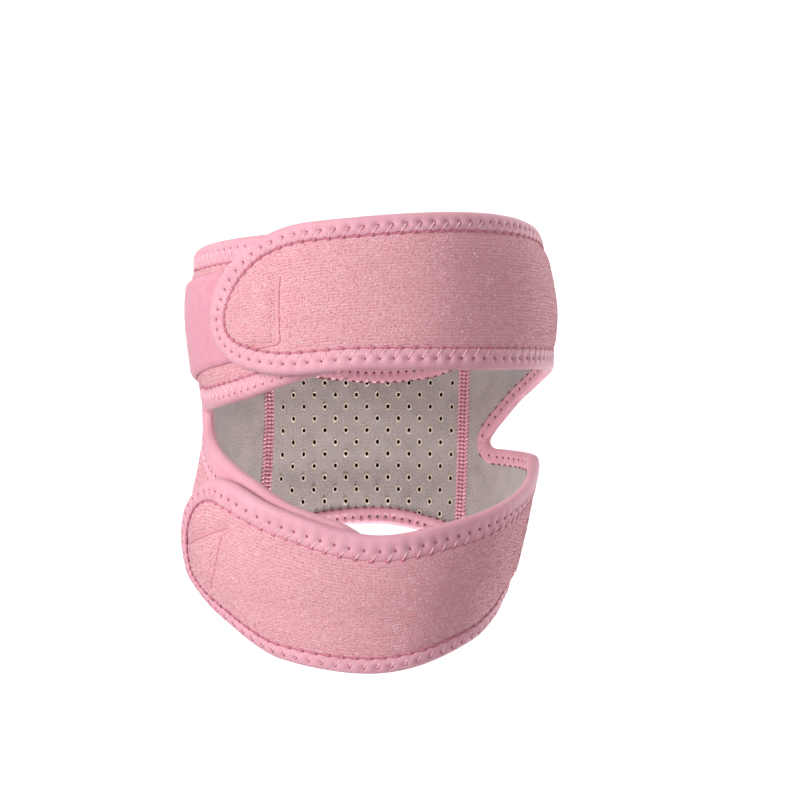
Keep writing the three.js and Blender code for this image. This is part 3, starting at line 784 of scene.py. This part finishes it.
def flat_seam(angle, side):
    """Bed of a flat seam and its covering stitches on both faces."""
    middle = angle * RUN_PER_DEGREE
    low, high = (float(z[0]) for z in whole_edges(0)(np.array([angle])))
    low += SEAM["below_edge"]
    high -= SEAM["below_edge"]
    half = SEAM["half"] / RUN_PER_DEGREE
    bed_angles = np.linspace(angle - half, angle + half, SEAM_GRID["columns"])

    def bed_ends(angle):
        return low + 0 * angle, high + 0 * angle

    points, faces = joined([band_grid(bed_angles, bed_ends, SEAM_GRID["rows"], (0, high - low))])
    crown = SEAM["crown"] * (1 - ((points[:, 0] - middle) / SEAM["half"]) ** 2)
    bed_lifts = (SEAM["bed"] + crown, -SEAM["bed"] - crown)
    bed = thick_sheet(side + "_seam_bed", points, faces, bed_lifts, [seam_bed])
    steps = np.arange(low, high, SEAM["pitch"])
    covers, spots = [], []
    for face in (1, -1):
        for column in SEAM_COLUMNS:
            reach = column["wide"] / 2
            crown = SEAM["crown"] * (1 - (column["at"] / SEAM["half"]) ** 2)
            lift = face * (SEAM["bed"] + crown + 0 * steps)
            run = middle + column["at"]
            tilt = column["slope"] * reach
            starts = rolled(run - face * reach + 0 * steps, steps - tilt, lift)
            ends = rolled(run + face * reach + 0 * steps, steps + tilt, lift)
            covers.append((starts, ends, face * leg_form(run + 0 * steps, steps)[1]))
        for across in (-SEAM_HOLE_AT, SEAM_HOLE_AT):
            run = middle + across + 0 * steps
            lift = face * (SEAM["bed"] + SEAM["crown"] + SEAM_HOLE_STAND + 0 * steps)
            place = rolled(run, steps + SEAM["pitch"] / 2, lift)
            spots.append((place, face * leg_form(run, steps)[1]))
    stitches = stitch_pieces(side + "_seam_stitches", *stacked(covers), SEAM_THREAD, seam_thread)
    holes = lens_pieces(side + "_seam_holes", *stacked(spots), UPRIGHT, SEAM_HOLE, needle_dark)
    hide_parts(side + "_seam")
    for piece in (bed, stitches, holes):
        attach(piece, "root")


# Painted shade: the needle holes and pits are dark pink lenses standing for the shade inside them.
needle_dark = sewing_thread("shaded_needle_hole", "#6b2439", "#8d3d55")
needle_pink = sewing_thread("shaded_needle_pit", "#a8556c", "#bd7086")
# Painted shade: the seam bed is a darker copy of the seam thread, standing for the shade under the covering
# stitches.
seam_bed = sewing_thread("shaded_seam_thread", "#d08093", "#e09bab")
seam_thread = sewing_thread("pink_seam_thread", "#f6b0bf", "#ffccd6")
flat_seam(RIGHT_SEAM, "right")
flat_seam(LEFT_SEAM, "left")


# Edge binding: knitted pink tape folded over the whole cut edge of the sleeve in one run.
# Two rows of needle holes pull it down, so it puckers between stitches and its sewn edges scallop.
TAPE_FOLD = {"reach": 2.4, "outer": 2.45, "inner": 1.75, "turns": (66, 42, 20, 0, -20, -42, -66)}
# The tape's sewn edges roll under: how far past its width each point of the roll lies, and its lift
OUTER_ROLL = ((-0.8, 0.8), (0, 1.2), (0.1, 1.55), (-0.25, 1.95))
INNER_ROLL = ((-0.25, -1.55), (0.1, -1.35), (0, -1.1), (-0.8, -0.8))
TAPE_FLAT = {"to_roll": 0.9, "outer_lift": 1.95, "inner_rise": 0.1, "outer_rows": 9, "inner_rows": 5}
ZIGZAG = {"past": 0.15, "inside_hole": 3.0}
PIT = {"depth": 0.75, "wide": 0.9, "long": 0.85}
PUCKER = 0.1
SCALLOP = {"outer": 0.22, "inner_share": 0.7}
BLEND_LENGTH = 22
WALK_STEPS = 4000
WALK_REACH = 0.6
RINGS_PER_STITCH = 6
# Sizes of the tape by stretch of the edge: its two widths, the length of its stitches, and how far its
# outer needle holes lie from its sewn edge
TAPE_SIZES = ("outside", "inside", "stitch", "hole")
TAPE = {
    "strap_bottom": (5.3, 6.0, 4.5, 2.9),
    "back_bottom": (5.3, 6.6, 3.2, 2.9),
    "tab_bottom": (5.3, 6.0, 3.8, 2.9),
    "lower_tab_top": (10.5, 6.0, 3.8, 3.1),
    "upper_tab_low": (6.5, 6.0, 3.8, 3.7),
    "tab_top": (8.0, 6.0, 3.8, 4.4),
    "back_top": (6.0, 6.6, 3.2, 2.7),
    "strap_top": (6.0, 6.0, 4.5, 2.5),
    "upper_strap_low": (6.9, 5.6, 4.5, 3.1),
    "lower_strap_top": (8.4, 5.6, 4.5, 3.1),
}
# Width of the tape round a strap's end, and how many degrees it reaches from the tip
STRAP_TIP = {
    "strap_top": {"outside": 7.6, "reach": 9},
    "upper_strap_low": {"outside": 7.0, "reach": 9},
    "strap_bottom": {"outside": 6.4, "reach": 9},
    "lower_strap_top": {"outside": 5.8, "reach": 23},
}


def binding_walk():
    """The cut edge in one closed walk with the sheet on its left: run, z, and each size of the tape."""
    back_walk = between(RIGHT_NOTCH["tip"], LEFT_NOTCH["tip"], RIM_STEP)
    back = {"cuts": [whole_edges(0)] * 2, "walks": [back_walk] * 2}
    rows = []
    for name, panel, arm, side in (
        ("strap_bottom", strap, LOWER, LOWER),
        ("back_bottom", back, LOWER, LOWER),
        ("tab_bottom", tab, LOWER, LOWER),
        ("lower_tab_top", tab, LOWER, UPPER),
        ("upper_tab_low", tab, UPPER, LOWER),
        ("tab_top", tab, UPPER, UPPER),
        ("back_top", back, UPPER, UPPER),
        ("strap_top", strap, UPPER, UPPER),
        ("upper_strap_low", strap, UPPER, LOWER),
        ("lower_strap_top", strap, LOWER, UPPER),
    ):
        angles = panel["walks"][arm]
        if side == UPPER:
            angles = angles[::-1]
        sizes = np.tile(TAPE[name], (len(angles), 1))
        if name in STRAP_TIP:
            at_tip = angles < angles.min() + STRAP_TIP[name]["reach"]
            sizes[at_tip, TAPE_SIZES.index("outside")] = STRAP_TIP[name]["outside"]
        z = panel["cuts"][arm](angles)[side]
        rows.append(np.column_stack([angles * RUN_PER_DEGREE, z, sizes])[:-1])
    return np.concatenate(rows)


def blended(values):
    """Running mean of values on the closed walk, at even steps of its length."""
    sampled = np.interp(even, walked, np.append(values, values[0]))
    count = round(BLEND_LENGTH / even[1])
    window = np.concatenate([sampled[-count:], sampled, sampled[:count]])
    return np.convolve(window, np.ones(count) / count, "same")[count:-count]


walk = binding_walk()
closed = np.concatenate([walk, walk[:1]])
on_form = rolled(closed[:, 0], closed[:, 1], strap_lift(closed[:, 0], closed[:, 1]))
walked = np.concatenate([[0], np.cumsum(np.linalg.norm(np.diff(on_form, axis=0), axis=1))])
even = np.linspace(0, walked[-1], WALK_STEPS, endpoint=False)
tape_sizes = {name: blended(values) for name, values in zip(TAPE_SIZES, walk[:, 2:].T)}
counted = np.concatenate([[0], np.cumsum(even[1] / tape_sizes["stitch"])])
stitch_count = round(counted[-1])
counted *= stitch_count / counted[-1]
stops = np.append(even, walked[-1])


def length_at(stitch):
    """Length of the walk up to a stitch number."""
    return np.interp(np.mod(stitch, stitch_count), counted, stops)


def tape_size(name, stitch):
    """A size of the tape, named as in the table, at a stitch number."""
    return np.interp(length_at(stitch), even, tape_sizes[name], period=walked[-1])


def on_edge(stitch):
    """Run, z and the inward way of the cut edge at a stitch number."""

    def on_walk(length):
        return np.stack([np.interp(length, walked, closed[:, k]) for k in (0, 1)], -1)

    length = length_at(stitch)
    here = on_walk(length)
    ahead = np.mod(length + WALK_REACH, walked[-1])
    behind = np.mod(length - WALK_REACH, walked[-1])
    along = on_walk(ahead) - on_walk(behind)
    along /= np.linalg.norm(along, axis=-1, keepdims=True)
    return here[..., 0], here[..., 1], np.stack([-along[..., 1], along[..., 0]], -1)


def on_tape(stitch, depth, lift):
    """Points of the tape at a stitch number, a depth in from the cut edge and a lift, and their ways out."""
    run, z, inward = on_edge(stitch)
    at_run = run + inward[..., 0] * depth
    at_z = z + inward[..., 1] * depth
    return rolled(at_run, at_z, strap_lift(at_run, at_z) + lift), leg_form(at_run, at_z)[1]


def tape_section(stitch):
    """Depths and lifts of the tape's closed section at each stitch number, from outer edge to inner edge."""
    width, inner, pitch = (tape_size(name, stitch) for name in ("outside", "inside", "stitch"))
    hole = width - tape_size("hole", stitch)
    at_hole = np.mod(stitch + 0.5, 1) - 0.5
    at_edge = np.mod(stitch, 1) - 0.5
    wave = np.cos(math.tau * stitch)
    wide = width + SCALLOP["outer"] * wave
    scallop = SCALLOP["inner_share"] * SCALLOP["outer"] * wave
    fold, flat = TAPE_FOLD, TAPE_FLAT

    def pit(phase, depth, middle):
        along = np.exp(-((phase * pitch / PIT["long"]) ** 2))
        return PIT["depth"] * along * np.exp(-(((depth - middle) / PIT["wide"]) ** 2))

    section = [(wide + past, lift + 0 * wide) for past, lift in OUTER_ROLL]
    for share in np.linspace(0, 1, flat["outer_rows"]):
        depth = (wide - flat["to_roll"]) * (1 - share) + fold["reach"] * share
        fall = (depth - fold["reach"]) / (wide - fold["reach"])
        lift = fold["outer"] - (fold["outer"] - flat["outer_lift"]) * fall**2 - PUCKER * wave
        section.append((depth, lift - pit(at_hole, depth, hole) - pit(at_edge, depth, wide)))
    for turn in np.radians(fold["turns"]):
        side = fold["outer"] if turn > 0 else fold["inner"]
        section.append((fold["reach"] * (1 - math.cos(turn)) + 0 * wide, side * math.sin(turn) + 0 * wide))
    for share in np.linspace(0, 1, flat["inner_rows"]):
        depth = fold["reach"] + (inner - flat["to_roll"] - fold["reach"]) * share
        lift = -fold["inner"] + flat["inner_rise"] * share
        section.append((depth, lift + pit(at_hole, depth, ZIGZAG["inside_hole"])))
    section += [(inner + past + scallop, lift + 0 * wide) for past, lift in INNER_ROLL]
    depths, lifts = zip(*section)
    return np.stack(depths, -1), np.stack(lifts, -1)


def knitted_tape():
    """Warp-knitted polyester tape: fine ribs across its width and a low satin sheen."""
    material, tree, shader = new_material(
        "pink_knitted_binding_tape",
        {"Roughness": 0.7, "IOR": 1.5, "Sheen Weight": 0.25, "Sheen Roughness": 0.35},
    )
    cut = add_node(tree, "ShaderNodeUVMap", uv_map="cut").outputs["UV"]
    # Ribs 0.9 mm apart and clouds of tone about 12 mm long
    ribs = add_node(
        tree,
        "ShaderNodeTexWave",
        {"Vector": cut, "Scale": math.pi / (10 * 0.9), "Distortion": 0.6, "Detail Scale": 1.0},
        bands_direction="X",
    )
    cloud = add_node(tree, "ShaderNodeTexNoise", {"Vector": cut, "Scale": 1 / 12, "Detail": 2.0})
    ribbed = {0: ribs.outputs["Fac"], 1: 0.35, 2: cloud.outputs["Fac"]}
    tone = add_node(tree, "ShaderNodeMath", ribbed, operation="MULTIPLY_ADD")
    dyes = ((0.35, "#de9bab"), (0.65, "#e5a5b4"), (0.95, "#ecb0bd"))
    dye_and_grain(tree, shader, tone.outputs[0], dyes, ribs.outputs["Fac"], strength=0.15, depth=0.15)
    return material


rings = np.arange(stitch_count * RINGS_PER_STITCH) / RINGS_PER_STITCH
depths, lifts = tape_section(rings)
ring_size = depths.shape[1]
tape_points, _ = on_tape(np.repeat(rings[:, None], ring_size, 1), depths, lifts)
number = np.arange(tape_points.shape[0] * ring_size).reshape(-1, ring_size)
ahead = np.roll(number, -1, 0)
quads = np.stack([number, np.roll(number, -1, 1), np.roll(ahead, -1, 1), ahead], -1).reshape(-1, 4).tolist()
tape_cut = np.stack([np.repeat(length_at(rings), ring_size), np.tile(np.arange(ring_size), len(rings))], -1)
binding = new_piece(
    "edge_binding_tape", tape_points.reshape(-1, 3), quads, [knitted_tape()], cut=tape_cut
)
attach(binding, "root")
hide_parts("edge_binding")


# Binding stitches: a zigzag of pink thread that holds the tape, from a hole half way over it to its edge.
# The forward stroke lies proud, the return stroke is drawn in and painted a deeper pink as shade, and each
# needle hole is a dark lens over its pit, painted as the shade inside it.
PROUD_THREAD = {"Radius": 0.22, "Rise": 0.3, "Sink": 0.15}
DRAWN_THREAD = {"Radius": 0.18, "Rise": 0.08, "Sink": 0.2}
EDGE_THREAD = {"Radius": 0.26, "Rise": 0.05, "Sink": 0.15}
TAB_THREAD = {"Radius": 0.3, "Rise": 0.25, "Sink": 0.2}
TAB_STITCHES = {"from": 232, "to": 330}
EDGE_DASH = {"Radius": 0.5, "Depth": 0.22}
EDGE_DASH_LENGTH = 2.0
SLIT = {"Radius": 0.24, "Rise": 0.1, "Sink": 0.1}
SLIT_REACH = 0.7
OUTER_HOLE = {"Radius": 0.5, "Depth": 0.22}
INNER_HOLE = {"Radius": 0.45, "Depth": 0.2}
STITCH_LIFT = {"hole": 1.95, "rim": 1.8, "edge": 1.5, "inner_hole": -1.4, "inner_rim": -1.5}
PAST_RIM = {"edge": 0.15, "dash": 0.3}

# Painted shade: the drawn, edge and dash threads are darker copies of the binding thread, standing for the
# shade where they lie low against the tape and the pile.
thread = sewing_thread("pink_binding_thread", "#eeb0bf", "#f9cdd5")
thread_drawn = sewing_thread("shaded_drawn_binding_thread", "#df93a7", "#eba7b8")
thread_edge = sewing_thread("shaded_binding_thread", "#c26b82", "#d38599")
thread_dash = sewing_thread("shaded_drawn_down_thread", "#c66d84", "#d58598")
stitches = np.arange(stitch_count)
half_way = stitches + 0.5
hole_depth = tape_size("outside", stitches) - tape_size("hole", stitches)
rim_depth = tape_size("outside", half_way) + ZIGZAG["past"]
inner_depth = tape_size("inside", half_way) + ZIGZAG["past"]
holes_out, holes_way = on_tape(stitches, hole_depth, STITCH_LIFT["hole"])
rim_out, rim_way = on_tape(half_way, rim_depth, STITCH_LIFT["rim"])
rim_low, _ = on_tape(half_way, rim_depth + PAST_RIM["edge"], STITCH_LIFT["edge"])
dashes, dash_way = on_tape(half_way, rim_depth + PAST_RIM["dash"], STITCH_LIFT["rim"])
inner_holes, inner_way = on_tape(stitches, ZIGZAG["inside_hole"] + 0 * stitches, STITCH_LIFT["inner_hole"])
inner_rim, inner_rim_way = on_tape(half_way, inner_depth, STITCH_LIFT["inner_rim"])
next_holes = np.roll(holes_out, -1, 0)
next_low = np.roll(rim_low, -1, 0)
tangent = next_holes - holes_out
tangent /= np.linalg.norm(tangent, axis=-1, keepdims=True)
slit_starts = inner_rim - tangent * SLIT_REACH
slit_ends = inner_rim + tangent * SLIT_REACH
stitch_angle = on_edge(stitches)[0] / RUN_PER_DEGREE
tabs = (stitch_angle > TAB_STITCHES["from"]) & (stitch_angle < TAB_STITCHES["to"])
forward = (holes_out, rim_out, holes_way)
back = (rim_out, next_holes, rim_way)
plain_forward, plain_back, tab_forward, tab_back = (
    [column[kept] for column in stroke] for kept in (~tabs, tabs) for stroke in (forward, back)
)
# The inside slits and the needle holes take the dark needle-hole materials as painted shade.
binding_stitches = (
    stitch_pieces("proud_stitches", *plain_forward, PROUD_THREAD, thread),
    stitch_pieces("drawn_stitches", *plain_back, DRAWN_THREAD, thread_drawn),
    stitch_pieces("tab_stitches", *stacked([tab_forward, tab_back]), TAB_THREAD, thread),
    stitch_pieces("edge_stitches", rim_low, next_low, rim_way, EDGE_THREAD, thread_edge),
    stitch_pieces("inside_slits", slit_starts, slit_ends, -inner_rim_way, SLIT, needle_dark),
    lens_pieces("edge_dashes", dashes, dash_way, tangent, EDGE_DASH, thread_dash, EDGE_DASH_LENGTH),
    lens_pieces("outer_needle_holes", holes_out, holes_way, tangent, OUTER_HOLE, needle_pink),
    lens_pieces("inner_needle_holes", inner_holes, -inner_way, tangent, INNER_HOLE, needle_dark),
)
for piece in binding_stitches:
    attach(piece, "root")


# Pile loops: the brushed-up loops of the two pink panels, laid in rows along the straps and the tabs.
# Soft polyester yarn, knitted into the cloth; none stands under the tape, the landing band or the straps.
NAP_ROWS = {"row": 1.1, "step": 1.0, "sway": 0.45, "spread": 0.2, "yaw": 0.4, "clear": 1.1, "seed": 11}
NAP_SPAN = (0.6, 1.1)
NAP_LOOP = {"Radius": 0.2, "Rise": 0.09, "Sink": 0.1}
NAP_DETAIL = {"bends": 2, "sides": 3}
NAP_AHEAD = 0.5
# Degrees clear of a strap's tip and of a seam
NAP_CLEAR = {"tip": 1, "seam": 2.6}
UNDER_STRAPS = {"upper": 318, "lower": 292}
SEWN_CLEAR = 1.0
EDGE_SAMPLE = 0.1


def pile_yarn():
    """Brushed polyester loops: soft and matte, each loop a little lighter or deeper than the next."""
    material, tree, shader = new_material(
        "pink_brushed_pile_loops",
        {"Roughness": 0.9, "IOR": 1.45, "Sheen Weight": 0.4, "Sheen Roughness": 0.35},
    )
    shader.inputs["Sheen Tint"].default_value = linear("#ffe6ea")
    place = add_node(tree, "ShaderNodeTexCoord").outputs["Object"]
    # Tones change from loop to loop, about 1 mm apart
    tones = add_node(tree, "ShaderNodeTexVoronoi", {"Vector": place, "Scale": 1 / (1.0 * MM)})
    tone = add_node(tree, "ShaderNodeSeparateColor", {"Color": tones.outputs["Color"]})
    dyes = ((0.0, "#dd99a2"), (0.5, "#e5a7b0"), (0.8, "#eeb9c1"), (1.0, "#fddde2"))
    dye_and_grain(tree, shader, tone.outputs["Red"], dyes)
    return material


def past_tape(run, z):
    """How far points of the cut lie past the tape's sewn edge."""
    number, distance = nearest(np.stack([run, z], -1), np.stack([edge_run, edge_z], -1))
    return distance - edge_width[number]


def nap_places(bands, faces, bare):
    """Guide points of the loops on a panel's outer face, row by row."""
    places = []
    for edges, start, stop in bands:
        angles = np.arange(start, stop, NAP_ROWS["step"] / RUN_PER_DEGREE)
        low, high = edges(angles)
        rows = round(float(np.median(high - low)) / NAP_ROWS["row"])
        shape = (len(angles), rows)
        angle = angles[:, None] + random.uniform(-1, 1, shape) * NAP_ROWS["sway"] / RUN_PER_DEGREE
        share = (np.arange(rows) + 0.5 + random.normal(0, NAP_ROWS["spread"], shape)) / rows
        yaw = random.normal(0, NAP_ROWS["yaw"], shape)
        span = random.uniform(*NAP_SPAN, shape)
        angle, share, yaw, span = (values.ravel() for values in (angle, share, yaw, span))
        low, high = edges(angle)
        low_ahead, high_ahead = edges(angle + NAP_AHEAD)
        run = angle * RUN_PER_DEGREE
        z = low + (high - low) * share
        z_ahead = low_ahead + (high_ahead - low_ahead) * share
        kept = (share > 0) & (share < 1) & ~bare(angle, z)
        kept[kept] = past_tape(run[kept], z[kept]) > NAP_ROWS["clear"]
        run, z, z_ahead, yaw, span = (values[kept] for values in (run, z, z_ahead, yaw, span))
        lift = faces(run, z)[0]
        here = rolled(run, z, lift)
        out = leg_form(run, z)[1]
        way = rolled(run + NAP_AHEAD * RUN_PER_DEGREE, z_ahead, lift) - here
        way /= np.linalg.norm(way, axis=-1, keepdims=True)
        way = way * np.cos(yaw)[:, None] + np.cross(out, way) * np.sin(yaw)[:, None]
        places.append((here, out, way, span))
    return stacked(places)


def sewn_down(angle, z):
    """Where a line of stitches draws the pile in, so that no loop stands up."""
    return nearest(np.stack([angle * RUN_PER_DEGREE, z], -1), sewn)[1] < SEWN_CLEAR


def covered_tab(angle, z):
    """Where the landing band or a strap lies over the tab."""
    low, high = landing_edges(angle)
    under_landing = (angle > LANDING["from"]) & (angle < LANDING["to"]) & (z > low) & (z < high)
    under_strap = angle > np.where(z > 0, UNDER_STRAPS["upper"], UNDER_STRAPS["lower"])
    return under_landing | under_strap


edge_stitches = np.arange(0, stitch_count, EDGE_SAMPLE)
edge_run, edge_z, _ = on_edge(edge_stitches)
edge_width = tape_size("outside", edge_stitches)
yarn = pile_yarn()
random = np.random.default_rng(NAP_ROWS["seed"])
right_side = (RIGHT_NOTCH["tip"], RIGHT_SEAM - NAP_CLEAR["seam"])
left_side = (LEFT_SEAM + NAP_CLEAR["seam"], LEFT_NOTCH["tip"])
lower_strap_bands, upper_strap_bands = (
    (
        (strap["cuts"][arm], STRAP_FORK["ends"][arm]["tip"] + NAP_CLEAR["tip"], RIGHT_NOTCH["tip"]),
        (strap["side"][arm], *right_side),
    )
    for arm in (LOWER, UPPER)
)
tab_bands = (
    (tab["cuts"][LOWER], LEFT_NOTCH["tip"], UNDER_STRAPS["lower"]),
    (tab["cuts"][UPPER], LEFT_NOTCH["tip"], UNDER_STRAPS["upper"]),
    (tab["side"][LOWER], *left_side),
    (tab["side"][UPPER], *left_side),
)
nap = {}
for name, bands, faces, bare in (
    ("lower_strap", lower_strap_bands, strap_faces, sewn_down),
    ("upper_strap", upper_strap_bands, strap_faces, sewn_down),
    ("tab", tab_bands, tab_faces, covered_tab),
):
    places = nap_places(bands, faces, bare)
    nap[name] = repeated(name + "_pile_loops", *places, NAP_LOOP, arch_shape(**NAP_DETAIL), yarn)
    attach(nap[name], "root")


# Hook patches: moulded nylon hook tape sewn under the strap ends, facing the tabs that it grips.
# The lines of stitches that hold it show on the straps as faint drawn-in lines.
UPPER_HOOK = {"from": -37, "to": -22, "inset": 11, "inner": 4.45, "outer": 5.2}
LOWER_HOOK = {"from": -64, "to": -47, "inset": 11, "inner": 2.8, "outer": 3.4}
HOOK_GRID = {"columns": 24, "rows": 30, "across": (0, 30)}
HOOK = {"Radius": 0.28, "Depth": 0.35}
# Spacing of the hooks, how far they stay from the tape's ends and edges, and how they stand on its base
HOOK_ROWS = {"pitch": 1.7, "from_start": 1, "from_end": 0.5, "from_low": 1, "from_high": 0.8}
HOOK_STAND = {"base": 0.25, "middle": 0.2, "stretch": 1.6}
LINE_THREAD = {"Radius": 0.36, "Rise": 0.05, "Sink": 0.15}
LINE_STITCH = {"length": 2.1, "stand": 0.1}


def hook_nylon():
    """Injection-moulded nylon hook tape, dyed pink: a smooth, slightly waxy gloss with a fine grain."""
    material, tree, shader = new_material("pink_moulded_nylon", {"Roughness": 0.45, "IOR": 1.53})
    place = add_node(tree, "ShaderNodeTexCoord").outputs["Object"]
    # Mould grain about 0.6 mm across
    grain = add_node(tree, "ShaderNodeTexNoise", {"Vector": place, "Scale": 1 / (0.6 * MM), "Detail": 2.0})
    dyes = ((0.3, "#dd93a8"), (0.7, "#e9a5b7"))
    dye_and_grain(tree, shader, grain.outputs["Fac"], dyes, grain.outputs["Fac"], strength=0.2, depth=0.05)
    return material


def hook_patch(side, size, strap_cut):
    """A strip of hook tape under a strap's end, with its rows of hooks."""

    def edges(angle):
        low, high = strap_cut(angle)
        return low + size["inset"], high - size["inset"]

    angles = np.linspace(size["from"], size["to"], HOOK_GRID["columns"])
    points, faces = joined([band_grid(angles, edges, HOOK_GRID["rows"], HOOK_GRID["across"])])
    level = 0 * points[:, 0]
    lifts = (size["outer"] + level, size["inner"] + HOOK_STAND["base"] + level)
    patch = thick_sheet(side + "_hook_tape", points, faces, lifts, [nylon])
    rows, pitch = HOOK_ROWS, HOOK_ROWS["pitch"]
    first, last = size["from"] + rows["from_start"], size["to"] - rows["from_end"]
    spots = []
    for angle in np.arange(first, last, pitch / RUN_PER_DEGREE):
        low, high = (float(z[0]) for z in edges(np.array([angle])))
        heights = np.arange(low + rows["from_low"], high - rows["from_high"], pitch)
        spots += [(angle * RUN_PER_DEGREE, z) for z in heights]
    middle, out = leg_form(*np.array(spots).T)
    places = middle + out * (size["inner"] + HOOK_STAND["middle"])
    hooks = lens_pieces(side + "_hooks", places, -out, UPRIGHT, HOOK, nylon, HOOK_STAND["stretch"])
    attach(patch, "root")
    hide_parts(side + "_hook_patch")
    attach(hooks, "root")


nylon = hook_nylon()
hook_patch("upper", UPPER_HOOK, strap["cuts"][UPPER])
hook_patch("lower", LOWER_HOOK, strap["cuts"][LOWER])
line_parts = []
for line in SEWN_LINES:
    run, z = close_points(line, LINE_STITCH["length"]).T
    places = rolled(run, z, strap_faces(run, z)[0] + LINE_STITCH["stand"])
    line_parts.append((places[:-1], places[1:], leg_form(run[:-1], z[:-1])[1]))
line_thread = sewing_thread("hook_patch_thread", "#d78f9e", "#e29fad")
line_stitches = stitch_pieces("hook_patch_stitches", *stacked(line_parts), LINE_THREAD, line_thread)
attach(line_stitches, "root")


# Studio: a round white floor that curves up into a wall of backdrop paper, a large soft key light at the
# left, a rim light at the right, weak fills from above and in front, and two narrow lamps below, which
# light the lining.
FLOOR = {"z": -0.30, "inner": 0.4, "radius": 2.3, "cove": 0.5, "top": 2.2, "sides": 64, "cove_rows": 13}
# Painted light: the paper glows faintly all round and brightly in a wedge behind the sleeve, and so also
# lights the sleeve from behind.
PAPER_GLOW = {"From Min": 0.1, "From Max": 0.45, "To Min": 0.14, "To Max": 0.95}
CAMERA = {"place": (0, -0.687, 0.028), "lens": 85.6, "turn": (89.01, 0, -0.90)}
# Each lamp's name, place, aim and size in metres, power in watts and spread in degrees
LAMPS = (
    ("key", (-1.25, -1.2, 0.45), (0, 0, 0), 0.9, 26.4, 180),
    ("rim", (1.45, 0.95, 0.25), (0, 0, 0), 1.0, 18.5, 180),
    ("top", (-0.2, 0.0, 1.3), (0, 0, 0), 0.9, 7, 180),
    ("front", (0.05, -1.3, 0.03), (0, 0, 0), 0.5, 1.2, 180),
    ("low_back", (0.03, -0.02, -0.25), (-0.02, 0.06, -0.012), 0.08, 0.06, 40),
    ("low_right", (-0.035, -0.005, -0.25), (0.055, -0.002, 0.002), 0.06, 0.011, 24),
)
SKY = {"Color": linear("#ffffff"), "Strength": 0.12}


def backdrop_paper():
    """Seamless white paper: matte, faintly fibrous, and glowing white at the back by its own emission,
    painted light in place of a lamp behind it.
    """
    material, tree, shader = new_material(
        "white_backdrop_paper", {"Roughness": 0.9, "Emission Strength": 1.0}
    )
    place = add_node(tree, "ShaderNodeTexCoord").outputs["Object"]
    # Paper fibres about 6 mm long
    fibre = add_node(tree, "ShaderNodeTexNoise", {"Vector": place, "Scale": 1 / (6 * MM)})
    dye_and_grain(tree, shader, fibre.outputs["Fac"], ((0.3, "#9c9c9c"), (0.7, "#a4a4a4")))
    along = add_node(tree, "ShaderNodeSeparateXYZ", {"Vector": place})
    sideways = add_node(tree, "ShaderNodeMath", {0: along.outputs["X"]}, operation="ABSOLUTE")
    behind = {0: along.outputs["Y"], 1: sideways.outputs[0]}
    wedge = add_node(tree, "ShaderNodeMath", behind, operation="SUBTRACT").outputs[0]
    glow = add_node(
        tree, "ShaderNodeMapRange", {"Value": wedge, **PAPER_GLOW}, interpolation_type="SMOOTHSTEP"
    )
    tree.links.new(glow.outputs["Result"], shader.inputs["Emission Color"])
    return material


cove = np.linspace(0, math.pi / 2, FLOOR["cove_rows"])
cove_out = FLOOR["radius"] + FLOOR["cove"] * np.sin(cove)
cove_up = FLOOR["z"] + FLOOR["cove"] * (1 - np.cos(cove))
wall_top = (FLOOR["radius"] + FLOOR["cove"], FLOOR["top"])
profile = [(FLOOR["inner"], FLOOR["z"]), *zip(cove_out, cove_up), wall_top]
turns = np.arange(FLOOR["sides"]) / FLOOR["sides"] * math.tau
sweep = [(out * math.cos(turn), out * math.sin(turn), up) for out, up in profile for turn in turns]
number = np.arange(len(sweep)).reshape(len(profile), -1)
ahead = np.roll(number, -1, 1)
sweep_faces = np.stack([number[:-1], number[1:], ahead[1:], ahead[:-1]], -1).reshape(-1, 4).tolist()
sweep_faces.append(number[0].tolist())
floor = new_piece("backdrop", np.array(sweep) / MM, sweep_faces, [backdrop_paper()])

camera_data = bpy.data.cameras.new("camera")
camera_data.lens = CAMERA["lens"]
camera = bpy.data.objects.new("camera", camera_data)
camera.location = CAMERA["place"]
camera.rotation_euler = [math.radians(turn) for turn in CAMERA["turn"]]
bpy.context.scene.collection.objects.link(camera)
bpy.context.scene.camera = camera
for name, place, aim, size, power, spread in LAMPS:
    lamp = bpy.data.lights.new(name, "AREA")
    lamp.size = size
    lamp.energy = power
    lamp.spread = math.radians(spread)
    holder = bpy.data.objects.new(name, lamp)
    holder.location = place
    holder.visible_camera = False
    holder.rotation_euler = (Vector(aim) - Vector(place)).to_track_quat("-Z", "Y").to_euler()
    bpy.context.scene.collection.objects.link(holder)
world = bpy.data.worlds.new("studio")
world.use_nodes = True
for socket, value in SKY.items():
    world.node_tree.nodes["Background"].inputs[socket].default_value = value
bpy.context.scene.world = world
bpy.context.scene.view_settings.view_transform = "Standard"
